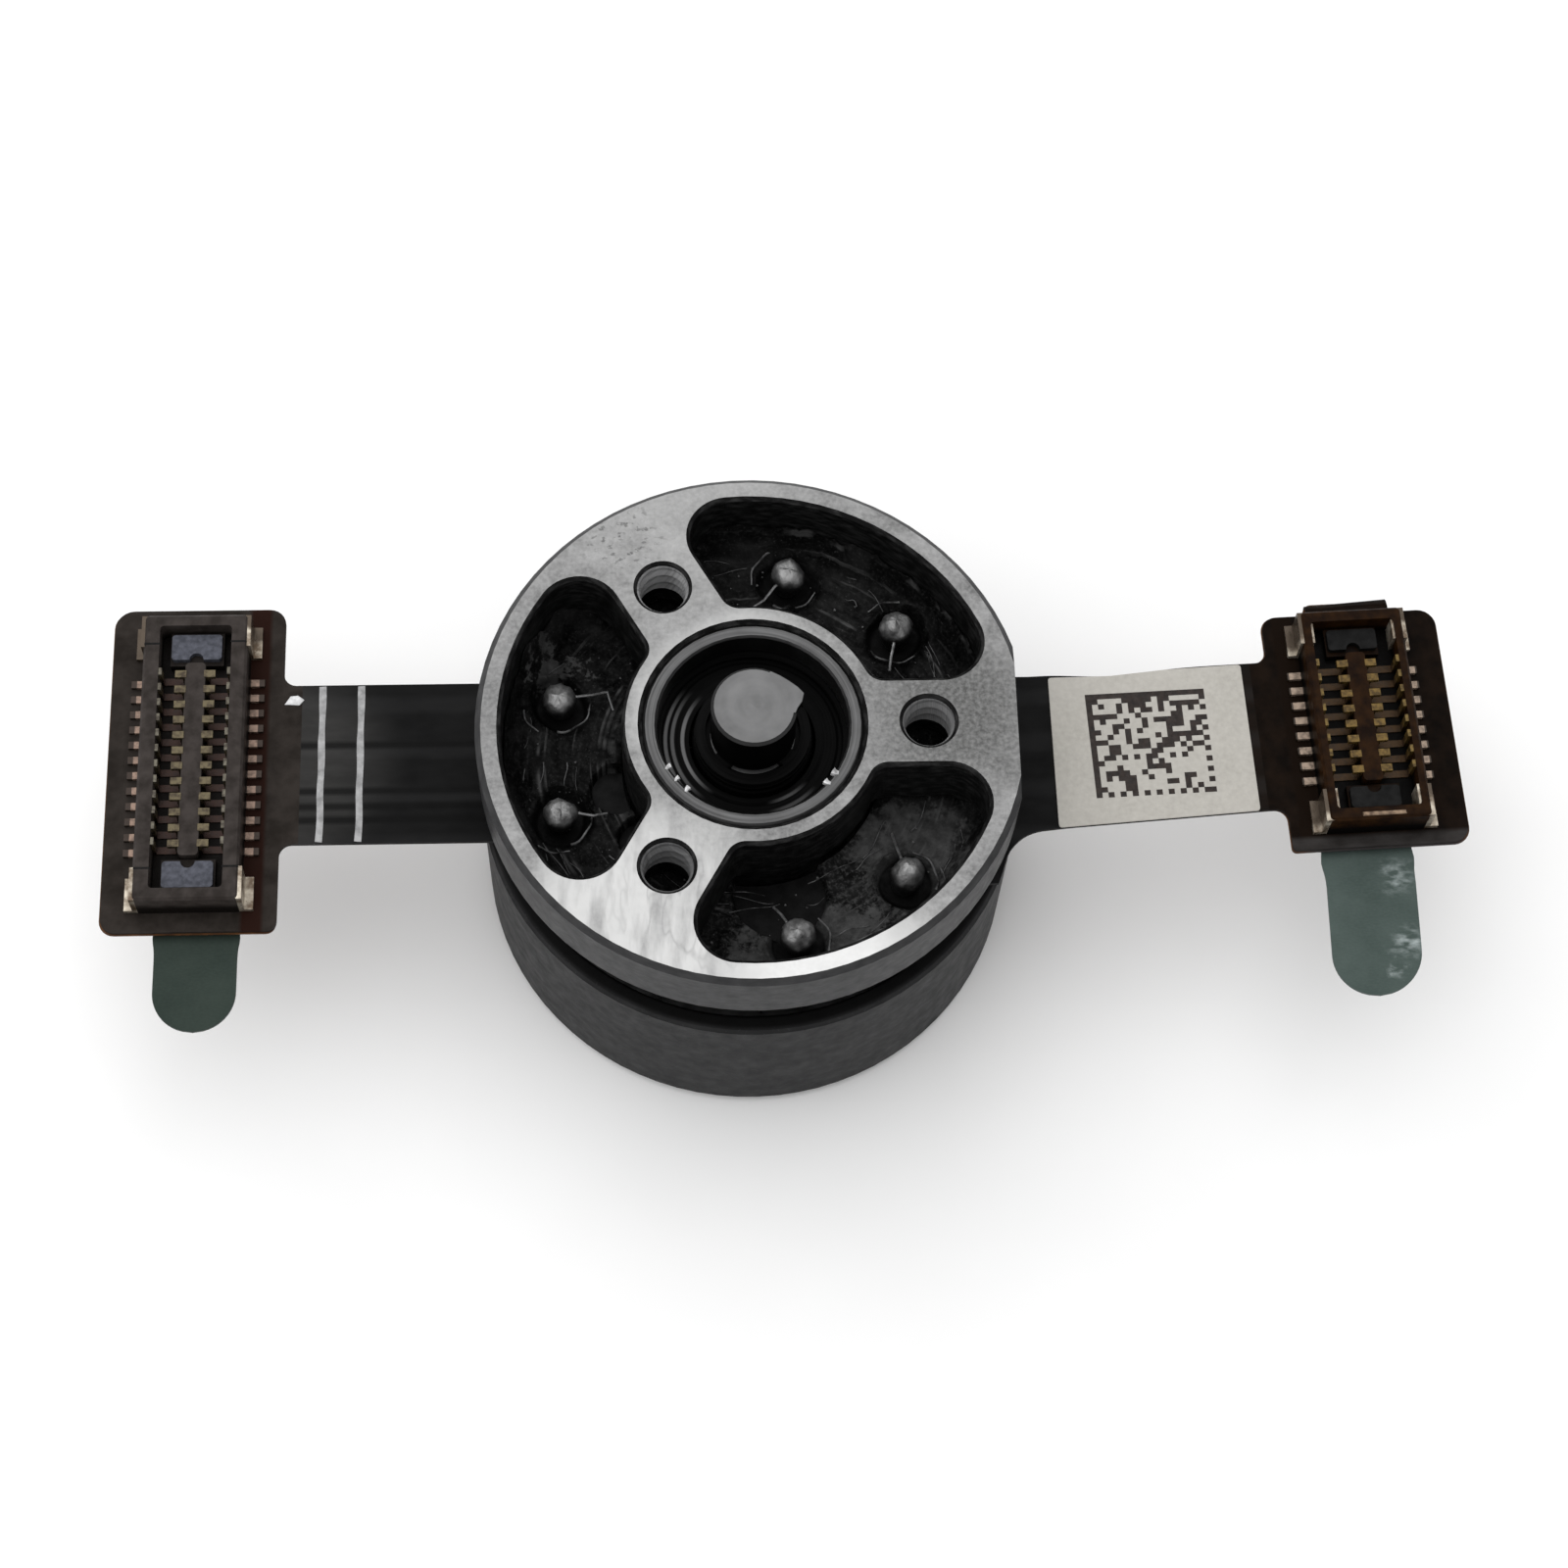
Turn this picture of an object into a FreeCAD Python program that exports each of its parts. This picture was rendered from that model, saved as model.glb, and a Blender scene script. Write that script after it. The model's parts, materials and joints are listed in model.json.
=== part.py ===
"""Camera-gimbal brushless motor with two flexible circuit tails.

A spoked aluminium plate carries the bearing tube, the wound stator and the terminal board.
The cup-shaped rotor hangs below it on a steel shaft that runs in two ball bearings.
Millimetres, +Z up. The origin is on the shaft axis, in the rotor's flat bottom face.
"""
import FreeCAD, Part
import math
import os

from FreeCAD import Placement, Rotation, Vector

os.makedirs("parts", exist_ok=True)

UP = Vector(0, 0, 1)
ORIGIN = Vector(0, 0, 0)

# --- driving dimensions: the motor ---
MOTOR_R = 6.5          # plate rim and rotor cup
MOUNT_Z = 8.4          # mounting face above the rotor's bottom face
PLATE_T = 1.85         # thickness of the spoked plate
CUP_H = 5.05           # height of the rotor cup
FLAT_X = 6.2           # flat on the plate where the right tail leaves
WINDOW_R_OUT = 5.9
WINDOW_R_IN = 3.08
SPOKE_HALF = 1.13      # half the width of a spoke
SPOKE_ANGLES = (0, 120, 240)
SCREW_PCR = 4.12       # radius of the circle that the mounting screws lie on
SCREW_R = 0.625        # bore of a mounting screw hole
SCREW_MOUTH_R = 0.70   # chamfer at the mouth of a screw hole
TUBE_R = 2.95          # outside of the bearing tube
SHAFT_R = 1.0
SHAFT_PROUD = 0.94     # shaft above the mounting face
SHAFT_SUNK = 0.08      # shaft end inside the cup's floor

# --- ball bearings, 2 x 5 x 2.5 ---
BEARING_R = 2.5
BEARING_W = 2.5
OUTER_RACE_R = 2.12    # inside of the outer ring
INNER_RACE_R = 1.42    # outside of the inner ring
BALL_R = 0.40
BALL_PCR = (OUTER_RACE_R + INNER_RACE_R) / 2
BALL_COUNT = 7
BALL_GAP = 0.02        # running clearance of a ball in its groove and pocket
CLIP_T = 0.2
CLIP_GROOVE_R = 0.8
UPPER_BEARING_Z = 5.05
CLIP_Z = UPPER_BEARING_Z + BEARING_W + 0.16
LOWER_BEARING_Z = 1.5

RETAINER_R0, RETAINER_R1 = 2.26, 2.60
RETAINER_Z1 = MOUNT_Z - 0.06

# --- stator ---
SLOTS = 9
CORE_Z0 = 1.9
LAMINATION_T = 0.2
LAMINATIONS = 13
CORE_Z1 = CORE_Z0 + LAMINATION_T * LAMINATIONS
CORE_R = 5.0
YOKE_R = 3.45
SHOE_R = 4.55          # inside of the pole shoes
SHOE_HALF_DEG = 16.5
TOOTH_W = 0.9
INSULATOR_T = 0.2
COIL_R0, COIL_R1 = 3.55, 4.48
COIL_WALL = 0.5
COIL_CLEAR = 0.02      # winding clear of the tooth and insulators

# --- rotor ---
MAGNET_R0, MAGNET_R1 = 5.2, 5.75
FLUX_R = 6.05          # outside of the flux ring, inside of the cup wall
FLOOR_T = 0.9
POLES = 12
ROTOR_SCREW_PCR = 3.4
ROTOR_SCREW_R = 0.625  # bore of an output screw hole
ROTOR_SCREW_ANGLES = (45, 135, 225, 315)

# --- terminal board ---
BOARD_Z0 = 5.75
BOARD_T = 0.42
BOARD_R = 6.05
BOARD_WALL = 0.2       # upright rim that meets the underside of the plate
BOARD_BORE_R = 3.4
TERMINAL_R = 4.8
TERMINAL_ANGLES = (42, 78, 162, 198, 282, 318)
WELL_R = 0.84          # outside of the round wall about a terminal
WELL_WALL = 0.14
WELL_H = 0.34
SOLDER_R = 0.48
SOLDER_LIFT = 0.46     # height of the widest part of a solder joint above the board

# --- flexible tails ---
FLEX_T = 0.15
FLEX_Z = BOARD_Z0 - FLEX_T     # underside of the flexible circuits
FLEX_Y0, FLEX_Y1 = -1.8, 2.35
FLEX_ROOT_X = 5.2
BEND_GAP = 0.1                 # each side of a bend line
LEFT_BEND_X = -7.6
RIGHT_BEND_X = 7.2
RIGHT_TURN = 2.6               # degrees that the right tail points off the X axis
RIGHT_TURN_AT = Vector(FLAT_X, 0.3, 0)
FLARE_R = 1.25         # hollow of the right tail's widened shoulder
STIFFENER_T = 0.2
TAB_T = 0.1
CONTACT_PITCH = 0.4

# --- end boards and connectors: centre, size along X and Y ---
LEFT_BOARD = {"x": -13.31, "y": 0.21, "w": 4.13, "l": 8.4}
RIGHT_BOARD = {"x": 14.97, "y": 0.46, "w": 4.3, "l": 6.2}
LEFT_PLUG = {"x": -13.30, "y": 0.19, "l": 7.4, "contacts": 12, "wall": 0.38, "anchor": 0.06}
RIGHT_PLUG = {"x": 14.85, "y": 0.50, "l": 5.55, "contacts": 8, "wall": 0.22, "anchor": 0.28}
PLUG_HALF_W = 1.24
PLUG_H = 0.86
PLUG_FLOOR = 0.18
ISLAND_HALF_W = 0.24


# --- small builders ---
def cylinder(radius, z0, z1, x=0.0, y=0.0):
    return Part.makeCylinder(radius, z1 - z0, Vector(x, y, z0), UP)


def ring(outer, inner, z0, z1, x=0.0, y=0.0):
    return cylinder(outer, z0, z1, x, y).cut(cylinder(inner, z0 - 1, z1 + 1, x, y))


def block(x0, x1, y0, y1, z0, z1):
    return Part.makeBox(x1 - x0, y1 - y0, z1 - z0, Vector(x0, y0, z0))


def polar(radius, degrees, z=0.0):
    angle = math.radians(degrees)
    return Vector(radius * math.cos(angle), radius * math.sin(angle), z)


def turned(shape, degrees, about=ORIGIN):
    copy = shape.copy()
    copy.rotate(about, UP, degrees)
    return copy


def fused(shapes):
    joined = shapes[0]
    if len(shapes) > 1:
        joined = joined.fuse(list(shapes[1:]))
    return joined.removeSplitter()


def lathe(points):
    """A solid of revolution about Z from (radius, z) corners."""
    outline = Part.makePolygon([Vector(r, 0, z) for r, z in points + points[:1]])
    return Part.Face(outline).revolve(ORIGIN, UP, 360)


def upright_edges(shape, test):
    """Edges that run along Z and whose (x, y) passes the test."""
    found = []
    for edge in shape.Edges:
        a, b = edge.Vertexes[0].Point, edge.Vertexes[-1].Point
        if abs(a.x - b.x) + abs(a.y - b.y) < 1e-6 and abs(a.z - b.z) > 1e-6 and test(a.x, a.y):
            found.append(edge)
    return found


def rounded_block(x0, x1, y0, y1, z0, z1, radius):
    solid = block(x0, x1, y0, y1, z0, z1)
    return solid.makeFillet(radius, upright_edges(solid, lambda x, y: True))


def top_edges(shape, z):
    """Edges that lie wholly at height z."""
    return [e for e in shape.Edges
            if abs(e.BoundBox.ZMin - z) < 1e-6 and abs(e.BoundBox.ZMax - z) < 1e-6]


def save(node, shapes):
    """Writes one node. The right tail is drawn along X and turned here."""
    if node.startswith("right_"):
        shapes = [turned(shape, RIGHT_TURN, RIGHT_TURN_AT) for shape in shapes]
    solids = [s for shape in shapes for s in shape.Solids]
    body = solids[0] if len(solids) == 1 else Part.makeCompound(solids)
    if not all(s.isValid() and s.Volume > 0 for s in solids):
        raise ValueError(f"{node} holds a solid that is not valid")
    body.exportStep(f"parts/{node}.step")


# --- spoked mounting plate with its bearing tube ---
def window(middle_deg):
    """The opening between two spokes, as a tall cutter with rounded corners."""
    z0, z1 = MOUNT_Z - PLATE_T - 1, MOUNT_Z + 1
    wedge = ring(WINDOW_R_OUT, WINDOW_R_IN, z0, z1)
    reach = 2 * MOTOR_R
    for side in (-60, 60):
        spoke = block(0, reach, -SPOKE_HALF, SPOKE_HALF, z0, z1)
        wedge = wedge.cut(turned(spoke, side))
    keep = turned(block(0, reach, -reach, reach, z0, z1), 0)
    wedge = max(wedge.common(keep).Solids, key=lambda s: s.Volume)
    corner = 0.5 * (WINDOW_R_OUT + WINDOW_R_IN)
    outer = upright_edges(wedge, lambda x, y: math.hypot(x, y) > corner)
    wedge = wedge.makeFillet(0.95, outer)
    inner = upright_edges(wedge, lambda x, y: math.hypot(x, y) < WINDOW_R_IN + 0.3)
    wedge = wedge.makeFillet(0.4, inner)
    return turned(wedge, middle_deg)


def mount_plate():
    z0 = MOUNT_Z - PLATE_T
    disc = lathe([(0, z0), (MOTOR_R - 0.1, z0), (MOTOR_R, z0 + 0.1),
                  (MOTOR_R, MOUNT_Z - 0.14), (MOTOR_R - 0.14, MOUNT_Z), (0, MOUNT_Z)])
    disc = disc.cut(block(FLAT_X, MOTOR_R + 1, -MOTOR_R, MOTOR_R, z0 - 1, MOUNT_Z + 1))
    for middle in (60, 180, 300):
        disc = disc.cut(window(middle))
    soft = [e for e in top_edges(disc, MOUNT_Z)
            if all(math.hypot(v.Point.x, v.Point.y) < WINDOW_R_OUT + 0.05 for v in e.Vertexes)
            and e.Length < 12]
    disc = disc.makeChamfer(0.09, soft)
    tube = cylinder(TUBE_R, 1.2, z0 + 0.2)
    body = disc.fuse(tube)
    shoulder_z = LOWER_BEARING_Z + BEARING_W
    seat_z = UPPER_BEARING_Z + BEARING_W
    bore = lathe([(0, 0), (BEARING_R + 0.1, 0), (BEARING_R + 0.1, 1.22), (BEARING_R, 1.32),
                  (BEARING_R, shoulder_z), (2.2, shoulder_z), (2.2, UPPER_BEARING_Z),
                  (BEARING_R, UPPER_BEARING_Z), (BEARING_R, seat_z), (RETAINER_R1, seat_z),
                  (RETAINER_R1, MOUNT_Z - 0.1), (RETAINER_R1 + 0.1, MOUNT_Z),
                  (RETAINER_R1 + 0.1, MOUNT_Z + 1), (0, MOUNT_Z + 1)])
    body = body.cut(bore)
    chamfer = SCREW_MOUTH_R - SCREW_R
    for angle in SPOKE_ANGLES:
        hole = lathe([(0, z0 - 1), (SCREW_R, z0 - 1), (SCREW_R, MOUNT_Z - chamfer),
                      (SCREW_MOUTH_R, MOUNT_Z), (SCREW_MOUTH_R, MOUNT_Z + 1), (0, MOUNT_Z + 1)])
        hole.translate(polar(SCREW_PCR, angle))
        body = body.cut(hole)
    return body.removeSplitter()


def bearing_retainer():
    """The ring pressed in over the upper bearing's outer ring."""
    return bevelled_ring(RETAINER_R1, RETAINER_R0, UPPER_BEARING_Z + BEARING_W, RETAINER_Z1, 0.07, 0.05)


# --- ball bearings ---
def groove(z):
    return Part.makeTorus(BALL_PCR, BALL_R + BALL_GAP, Vector(0, 0, z), UP)


def bevelled_ring(outer, inner, z0, z1, bevel_out, bevel_in):
    return lathe([(inner + bevel_in, z0), (outer - bevel_out, z0), (outer, z0 + bevel_out),
                  (outer, z1 - bevel_out), (outer - bevel_out, z1), (inner + bevel_in, z1),
                  (inner, z1 - bevel_in), (inner, z0 + bevel_in)])


def bearing(name, z0):
    """Writes the rings, shields, balls and cage of one bearing."""
    z1, middle = z0 + BEARING_W, z0 + BEARING_W / 2
    outer = bevelled_ring(BEARING_R, OUTER_RACE_R, z0, z1, 0.1, 0.03).cut(groove(middle))
    inner = bevelled_ring(INNER_RACE_R, SHAFT_R, z0, z1, 0.03, 0.05).cut(groove(middle))
    shields = []
    for shield_z in (z0 + 0.12, z1 - 0.24):
        shield = lathe([(1.50, shield_z), (1.62, shield_z), (1.72, shield_z + 0.04), (2.0, shield_z + 0.04),
                        (2.04, shield_z), (OUTER_RACE_R, shield_z), (OUTER_RACE_R, shield_z + 0.10),
                        (2.04, shield_z + 0.10), (1.98, shield_z + 0.12), (1.72, shield_z + 0.12),
                        (1.62, shield_z + 0.10), (1.50, shield_z + 0.10)])
        shields.append(shield)
    balls = [Part.makeSphere(BALL_R, polar(BALL_PCR, 360 / BALL_COUNT * i, middle))
             for i in range(BALL_COUNT)]
    cage = ring(BALL_PCR + 0.13, BALL_PCR - 0.13, middle - 0.52, middle + 0.18)
    for i in range(BALL_COUNT):
        cage = cage.cut(Part.makeSphere(BALL_R + BALL_GAP, polar(BALL_PCR, 360 / BALL_COUNT * i, middle)))
    save(f"{name}_bearing_outer_ring", [outer])
    save(f"{name}_bearing_inner_ring", [inner])
    save(f"{name}_bearing_shields", shields)
    save(f"{name}_bearing_balls", balls)
    save(f"{name}_bearing_cage", [cage])


# --- wound stator ---
def tooth_angles():
    return [360 / SLOTS * (i + 0.5) for i in range(SLOTS)]


def core_outline(z0, z1, shrink=0.0):
    """The star of a lamination between two heights."""
    shoe_arc = ring(CORE_R - shrink, SHOE_R + shrink, z0, z1)
    half = math.radians(SHOE_HALF_DEG)
    reach = CORE_R + 1
    corners = [Vector(0, 0, z0), Vector(reach, -reach * math.tan(half), z0),
               Vector(reach, reach * math.tan(half), z0), Vector(0, 0, z0)]
    wedge = Part.Face(Part.makePolygon(corners)).extrude(Vector(0, 0, z1 - z0))
    shoe = shoe_arc.common(wedge)
    half_tooth = TOOTH_W / 2 - shrink
    tooth = block(TUBE_R + 0.2, SHOE_R + 0.2, -half_tooth, half_tooth, z0, z1)
    limbs = [turned(shape, angle) for angle in tooth_angles() for shape in (tooth, shoe)]
    star = fused([ring(YOKE_R - shrink, TUBE_R - 0.5, z0, z1)] + limbs)
    return star.cut(cylinder(TUBE_R, z0 - 1, z1 + 1))


def laminations():
    sheet = core_outline(CORE_Z0, CORE_Z0 + LAMINATION_T)
    stack = []
    for i in range(LAMINATIONS):
        copy = sheet.copy()
        copy.translate(Vector(0, 0, LAMINATION_T * i))
        stack.append(copy)
    return stack


def insulators():
    """Bottom and top end caps. The top one has a rim that carries the terminals."""
    lower = core_outline(CORE_Z0 - INSULATOR_T, CORE_Z0, 0.03)
    rim_z = CORE_Z1 + 0.5
    upper = core_outline(CORE_Z1, CORE_Z1 + INSULATOR_T, 0.03)
    rim = ring(4.95, 4.55, CORE_Z1, rim_z)
    posts = [cylinder(0.17, rim_z - 0.1, BOARD_Z0, *tuple(polar(TERMINAL_R, a))[:2]) for a in SPOKE_ANGLES]
    return lower, fused([upper, rim] + posts)


def coil():
    """One winding about the tooth that points along +X."""
    half_in = TOOTH_W / 2 + COIL_CLEAR
    half_out = half_in + COIL_WALL
    z0, z1 = CORE_Z0 - INSULATOR_T - COIL_CLEAR, CORE_Z1 + INSULATOR_T + COIL_CLEAR
    body = block(COIL_R0, COIL_R1, -half_out, half_out, z0 - 0.4, z1 + 0.4)
    long_edges = [e for e in body.Edges if abs(e.BoundBox.XLength - (COIL_R1 - COIL_R0)) < 1e-6]
    body = body.makeFillet(0.3, long_edges)
    return body.cut(block(COIL_R0 - 1, COIL_R1 + 1, -half_in, half_in, z0, z1))


# --- terminal board and what stands on it ---
def terminal_board():
    """A ring with a round well about each terminal, cut back on the side of the third window."""
    z1 = BOARD_Z0 + BOARD_T
    board = ring(BOARD_R, BOARD_BORE_R, BOARD_Z0, z1)
    board = board.fuse(ring(BOARD_R, BOARD_R - BOARD_WALL, BOARD_Z0, MOUNT_Z - PLATE_T))
    relief = cylinder(1.0, BOARD_Z0 - 1, z1 + 1, *tuple(polar(3.2, 258))[:2])
    board = board.cut(relief).cut(cylinder(0.9, BOARD_Z0 - 1, z1 + 1, *tuple(polar(3.35, 300))[:2]))
    for angle in TERMINAL_ANGLES:
        at = polar(TERMINAL_R, angle)
        wall = ring(WELL_R, WELL_R - WELL_WALL, z1 - 0.05, z1 + WELL_H, at.x, at.y)
        wall = wall.common(cylinder(BOARD_R, BOARD_Z0, z1 + 1))
        mouth = turned(block(TERMINAL_R - 2, TERMINAL_R - 0.3, -0.16, 0.16, z1, z1 + 1), angle)
        board = board.fuse(wall.cut(mouth))
    for angle in TERMINAL_ANGLES:
        at = polar(TERMINAL_R, angle)
        board = board.cut(cylinder(0.18, BOARD_Z0 - 1, z1 + 1, at.x, at.y))
    return board.removeSplitter()


def terminals():
    pins, domes, wires = [], [], []
    z1 = BOARD_Z0 + BOARD_T
    for i, angle in enumerate(TERMINAL_ANGLES):
        at = polar(TERMINAL_R, angle)
        pin = cylinder(0.15, CORE_Z1 + 0.5, z1 + 0.7, at.x, at.y)
        dome = solder_joint(at.x, at.y, z1).cut(pin)
        pins.append(pin)
        domes.append(dome)
        lean = 12 if i % 2 else -10
        start = polar(TERMINAL_R - SOLDER_R + 0.02, angle, z1 + SOLDER_LIFT)
        kink = polar(4.1, angle + lean / 3, z1 + 0.42)
        end = polar(3.8, angle + lean, z1 + 0.06)
        wires.append(wire_between([start, kink, end], 0.045).cut(dome))
    return pins, domes, wires


def solder_joint(x, y, z):
    """A blob with a waisted foot."""
    foot = Part.makeCone(0.38, SOLDER_R - 0.02, SOLDER_LIFT, Vector(x, y, z), UP)
    ball = Part.makeSphere(SOLDER_R, Vector(x, y, z + SOLDER_LIFT))
    cap = ball.common(block(x - 1, x + 1, y - 1, y + 1, z + SOLDER_LIFT - 0.06, z + 2))
    return foot.fuse(cap).removeSplitter()


def wire_between(points, radius):
    """Straight round runs with a ball at each bend."""
    runs = []
    for a, b in zip(points, points[1:]):
        runs.append(Part.makeCylinder(radius, (b - a).Length, a, b - a))
    balls = [Part.makeSphere(radius, p) for p in points[1:-1]]
    return fused(runs + balls)


def position_sensors():
    """Two magnetic sensors under the board, over the ends of the magnets."""
    sensor = block(5.0, 5.7, -0.55, 0.55, BOARD_Z0 - 0.34, BOARD_Z0)
    return [turned(sensor, angle) for angle in (100, 260)]


# --- rotor ---
def rotor_cup():
    cup = lathe([(SHAFT_R, 0.03), (SHAFT_R + 0.03, 0), (MOTOR_R - 0.35, 0), (MOTOR_R - 0.1, 0.1),
                 (MOTOR_R, 0.35), (MOTOR_R, CUP_H - 0.08), (MOTOR_R - 0.08, CUP_H),
                 (FLUX_R + 0.06, CUP_H), (FLUX_R, CUP_H - 0.06), (FLUX_R, FLOOR_T),
                 (1.9, FLOOR_T), (1.9, 1.2), (1.8, 1.3), (SHAFT_R, 1.3)])
    for angle in ROTOR_SCREW_ANGLES:
        hole = cylinder(ROTOR_SCREW_R, -1, FLOOR_T + 1)
        hole.translate(polar(ROTOR_SCREW_PCR, angle))
        cup = cup.cut(hole)
    return cup


def magnets():
    """Twelve arc magnets, alternating north and south."""
    gap = 1.2
    north, south = [], []
    shell = ring(MAGNET_R1, MAGNET_R0, 1.2, 4.85)
    half = math.radians(360 / POLES / 2 - gap / 2)
    reach = MOTOR_R + 2
    corners = [Vector(0, 0, 0), Vector(reach, -reach * math.tan(half), 0),
               Vector(reach, reach * math.tan(half), 0), Vector(0, 0, 0)]
    wedge = Part.Face(Part.makePolygon(corners)).extrude(Vector(0, 0, CUP_H))
    piece = shell.common(wedge)
    for i in range(POLES):
        (south if i % 2 else north).append(turned(piece, 360 / POLES * i))
    return north, south


def shaft():
    top = MOUNT_Z + SHAFT_PROUD
    return lathe([(0, SHAFT_SUNK), (SHAFT_R - 0.08, SHAFT_SUNK), (SHAFT_R, SHAFT_SUNK + 0.08),
                  (SHAFT_R, CLIP_Z - 0.01), (CLIP_GROOVE_R, CLIP_Z - 0.01),
                  (CLIP_GROOVE_R, CLIP_Z + CLIP_T + 0.01), (SHAFT_R, CLIP_Z + CLIP_T + 0.01),
                  (SHAFT_R, top - 0.07), (SHAFT_R - 0.07, top), (0, top)])


def retaining_clip():
    """E-shaped clip: an open ring with three lugs that sit in the shaft's groove."""
    z0, z1 = CLIP_Z, CLIP_Z + CLIP_T
    body = ring(1.36, 1.12, z0, z1)
    lugs = [turned(block(CLIP_GROOVE_R + 0.01, 1.2, -0.22, 0.22, z0, z1), a) for a in (130, 225, 320)]
    body = fused([body] + lugs)
    opening = block(0.6, 3, -0.42, 0.42, z0 - 1, z1 + 1)
    body = body.cut(turned(opening, 45)).cut(cylinder(CLIP_GROOVE_R + 0.01, z0 - 1, z1 + 1))
    return body


# --- flexible tails ---
def soften(solid, corners, radius):
    """Rounds the upright edges that stand at any of the given (x, y) corners."""
    near = lambda x, y: any(abs(x - cx) + abs(y - cy) < 1e-3 for cx, cy in corners)
    return solid.makeFillet(radius, upright_edges(solid, near))


def flex_strip(side, bend_x, board):
    """A tail from its bend line to its end board, as one sheet."""
    z0, z1 = FLEX_Z, FLEX_Z + FLEX_T
    start = bend_x + side * BEND_GAP
    edge = board["x"] - side * board["w"] / 2
    far = board["x"] + side * board["w"] / 2
    y0, y1 = board["y"] - board["l"] / 2, board["y"] + board["l"] / 2
    x_strip = sorted((start, edge + side * 0.5))
    x_board = sorted((edge, far))
    sheet = fused([block(*x_strip, FLEX_Y0, FLEX_Y1, z0, z1), block(*x_board, y0, y1, z0, z1)])
    sheet = soften(sheet, [(far, y0), (far, y1), (edge, y0), (edge, y1)], 0.35)
    return soften(sheet, [(edge, FLEX_Y0), (edge, FLEX_Y1)], 0.3)


def flex_root(side, bend_x, flare):
    """The fixed end of a tail, bonded under the terminal board. The flare is its widened shoulder."""
    z0, z1 = FLEX_Z, FLEX_Z + FLEX_T
    end = bend_x - side * BEND_GAP
    strip = block(*sorted((side * FLEX_ROOT_X, end)), FLEX_Y0, FLEX_Y1, z0, z1)
    if flare:
        shoulder = block(FLEX_ROOT_X, end - side * 0.1, FLEX_Y0 - FLARE_R, FLEX_Y0, z0, z1)
        scoop = cylinder(FLARE_R, z0 - 1, z1 + 1, end - side * 0.1, FLEX_Y0 - FLARE_R)
        strip = fused([strip, shoulder.cut(scoop)])
    return strip


def stiffener(board, tongue):
    """The rigid plate under an end board, with an optional tongue past its far edge."""
    inset = 0.06
    x0, x1 = board["x"] - board["w"] / 2 + inset, board["x"] + board["w"] / 2 - inset
    y0, y1 = board["y"] - board["l"] / 2 + inset, board["y"] + board["l"] / 2 - inset
    z1 = FLEX_Z
    z0 = z1 - STIFFENER_T
    plate = rounded_block(x0, x1, y0, y1, z0, z1, 0.3)
    if tongue:
        ear = rounded_block(board["x"] - 1.05, board["x"] + 1.05, y1 - 1.0, y1 + 0.42, z0, z1, 0.2)
        plate = fused([plate, ear])
    return plate


def pull_tab(board, x, width, length):
    """A film tab bonded under the stiffener, round at its free end."""
    z1 = FLEX_Z - STIFFENER_T
    z0 = z1 - TAB_T
    near_y = board["y"] - board["l"] / 2
    radius = width / 2
    tip_y = near_y - length + radius
    strap = block(x - radius, x + radius, tip_y, near_y + 2.4, z0, z1)
    return fused([strap, cylinder(radius, z0, z1, x, tip_y)])


def label():
    x0, x1 = 7.37, 12.13
    z = FLEX_Z + FLEX_T
    return rounded_block(x0, x1, FLEX_Y0 + 0.03, FLEX_Y1 - 0.03, z, z + 0.06, 0.12)


# --- board-to-board connectors ---
def contact(x, y, z, side, wall):
    """One spring contact: solder tail, hook over the wall's inner edge, floor run and island blade."""
    y0, y1 = y - 0.09, y + 0.09
    face = PLUG_HALF_W - wall
    runs = [(face - 0.08, PLUG_HALF_W + 0.36, 0.0, 0.10), (face - 0.08, face, 0.0, PLUG_H - 0.04),
            (face - 0.08, face + 0.15, PLUG_H - 0.12, PLUG_H - 0.02),
            (ISLAND_HALF_W, face, 0.10, 0.22), (ISLAND_HALF_W - 0.03, ISLAND_HALF_W + 0.07, 0.10, 0.68),
            (ISLAND_HALF_W, ISLAND_HALF_W + 0.24, 0.56, 0.68)]
    parts = []
    for near, far, low, high in runs:
        a, b = sorted((x + side * near, x + side * far))
        parts.append(block(a, b, y0, y1, z + low, z + high))
    return fused(parts)


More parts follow.
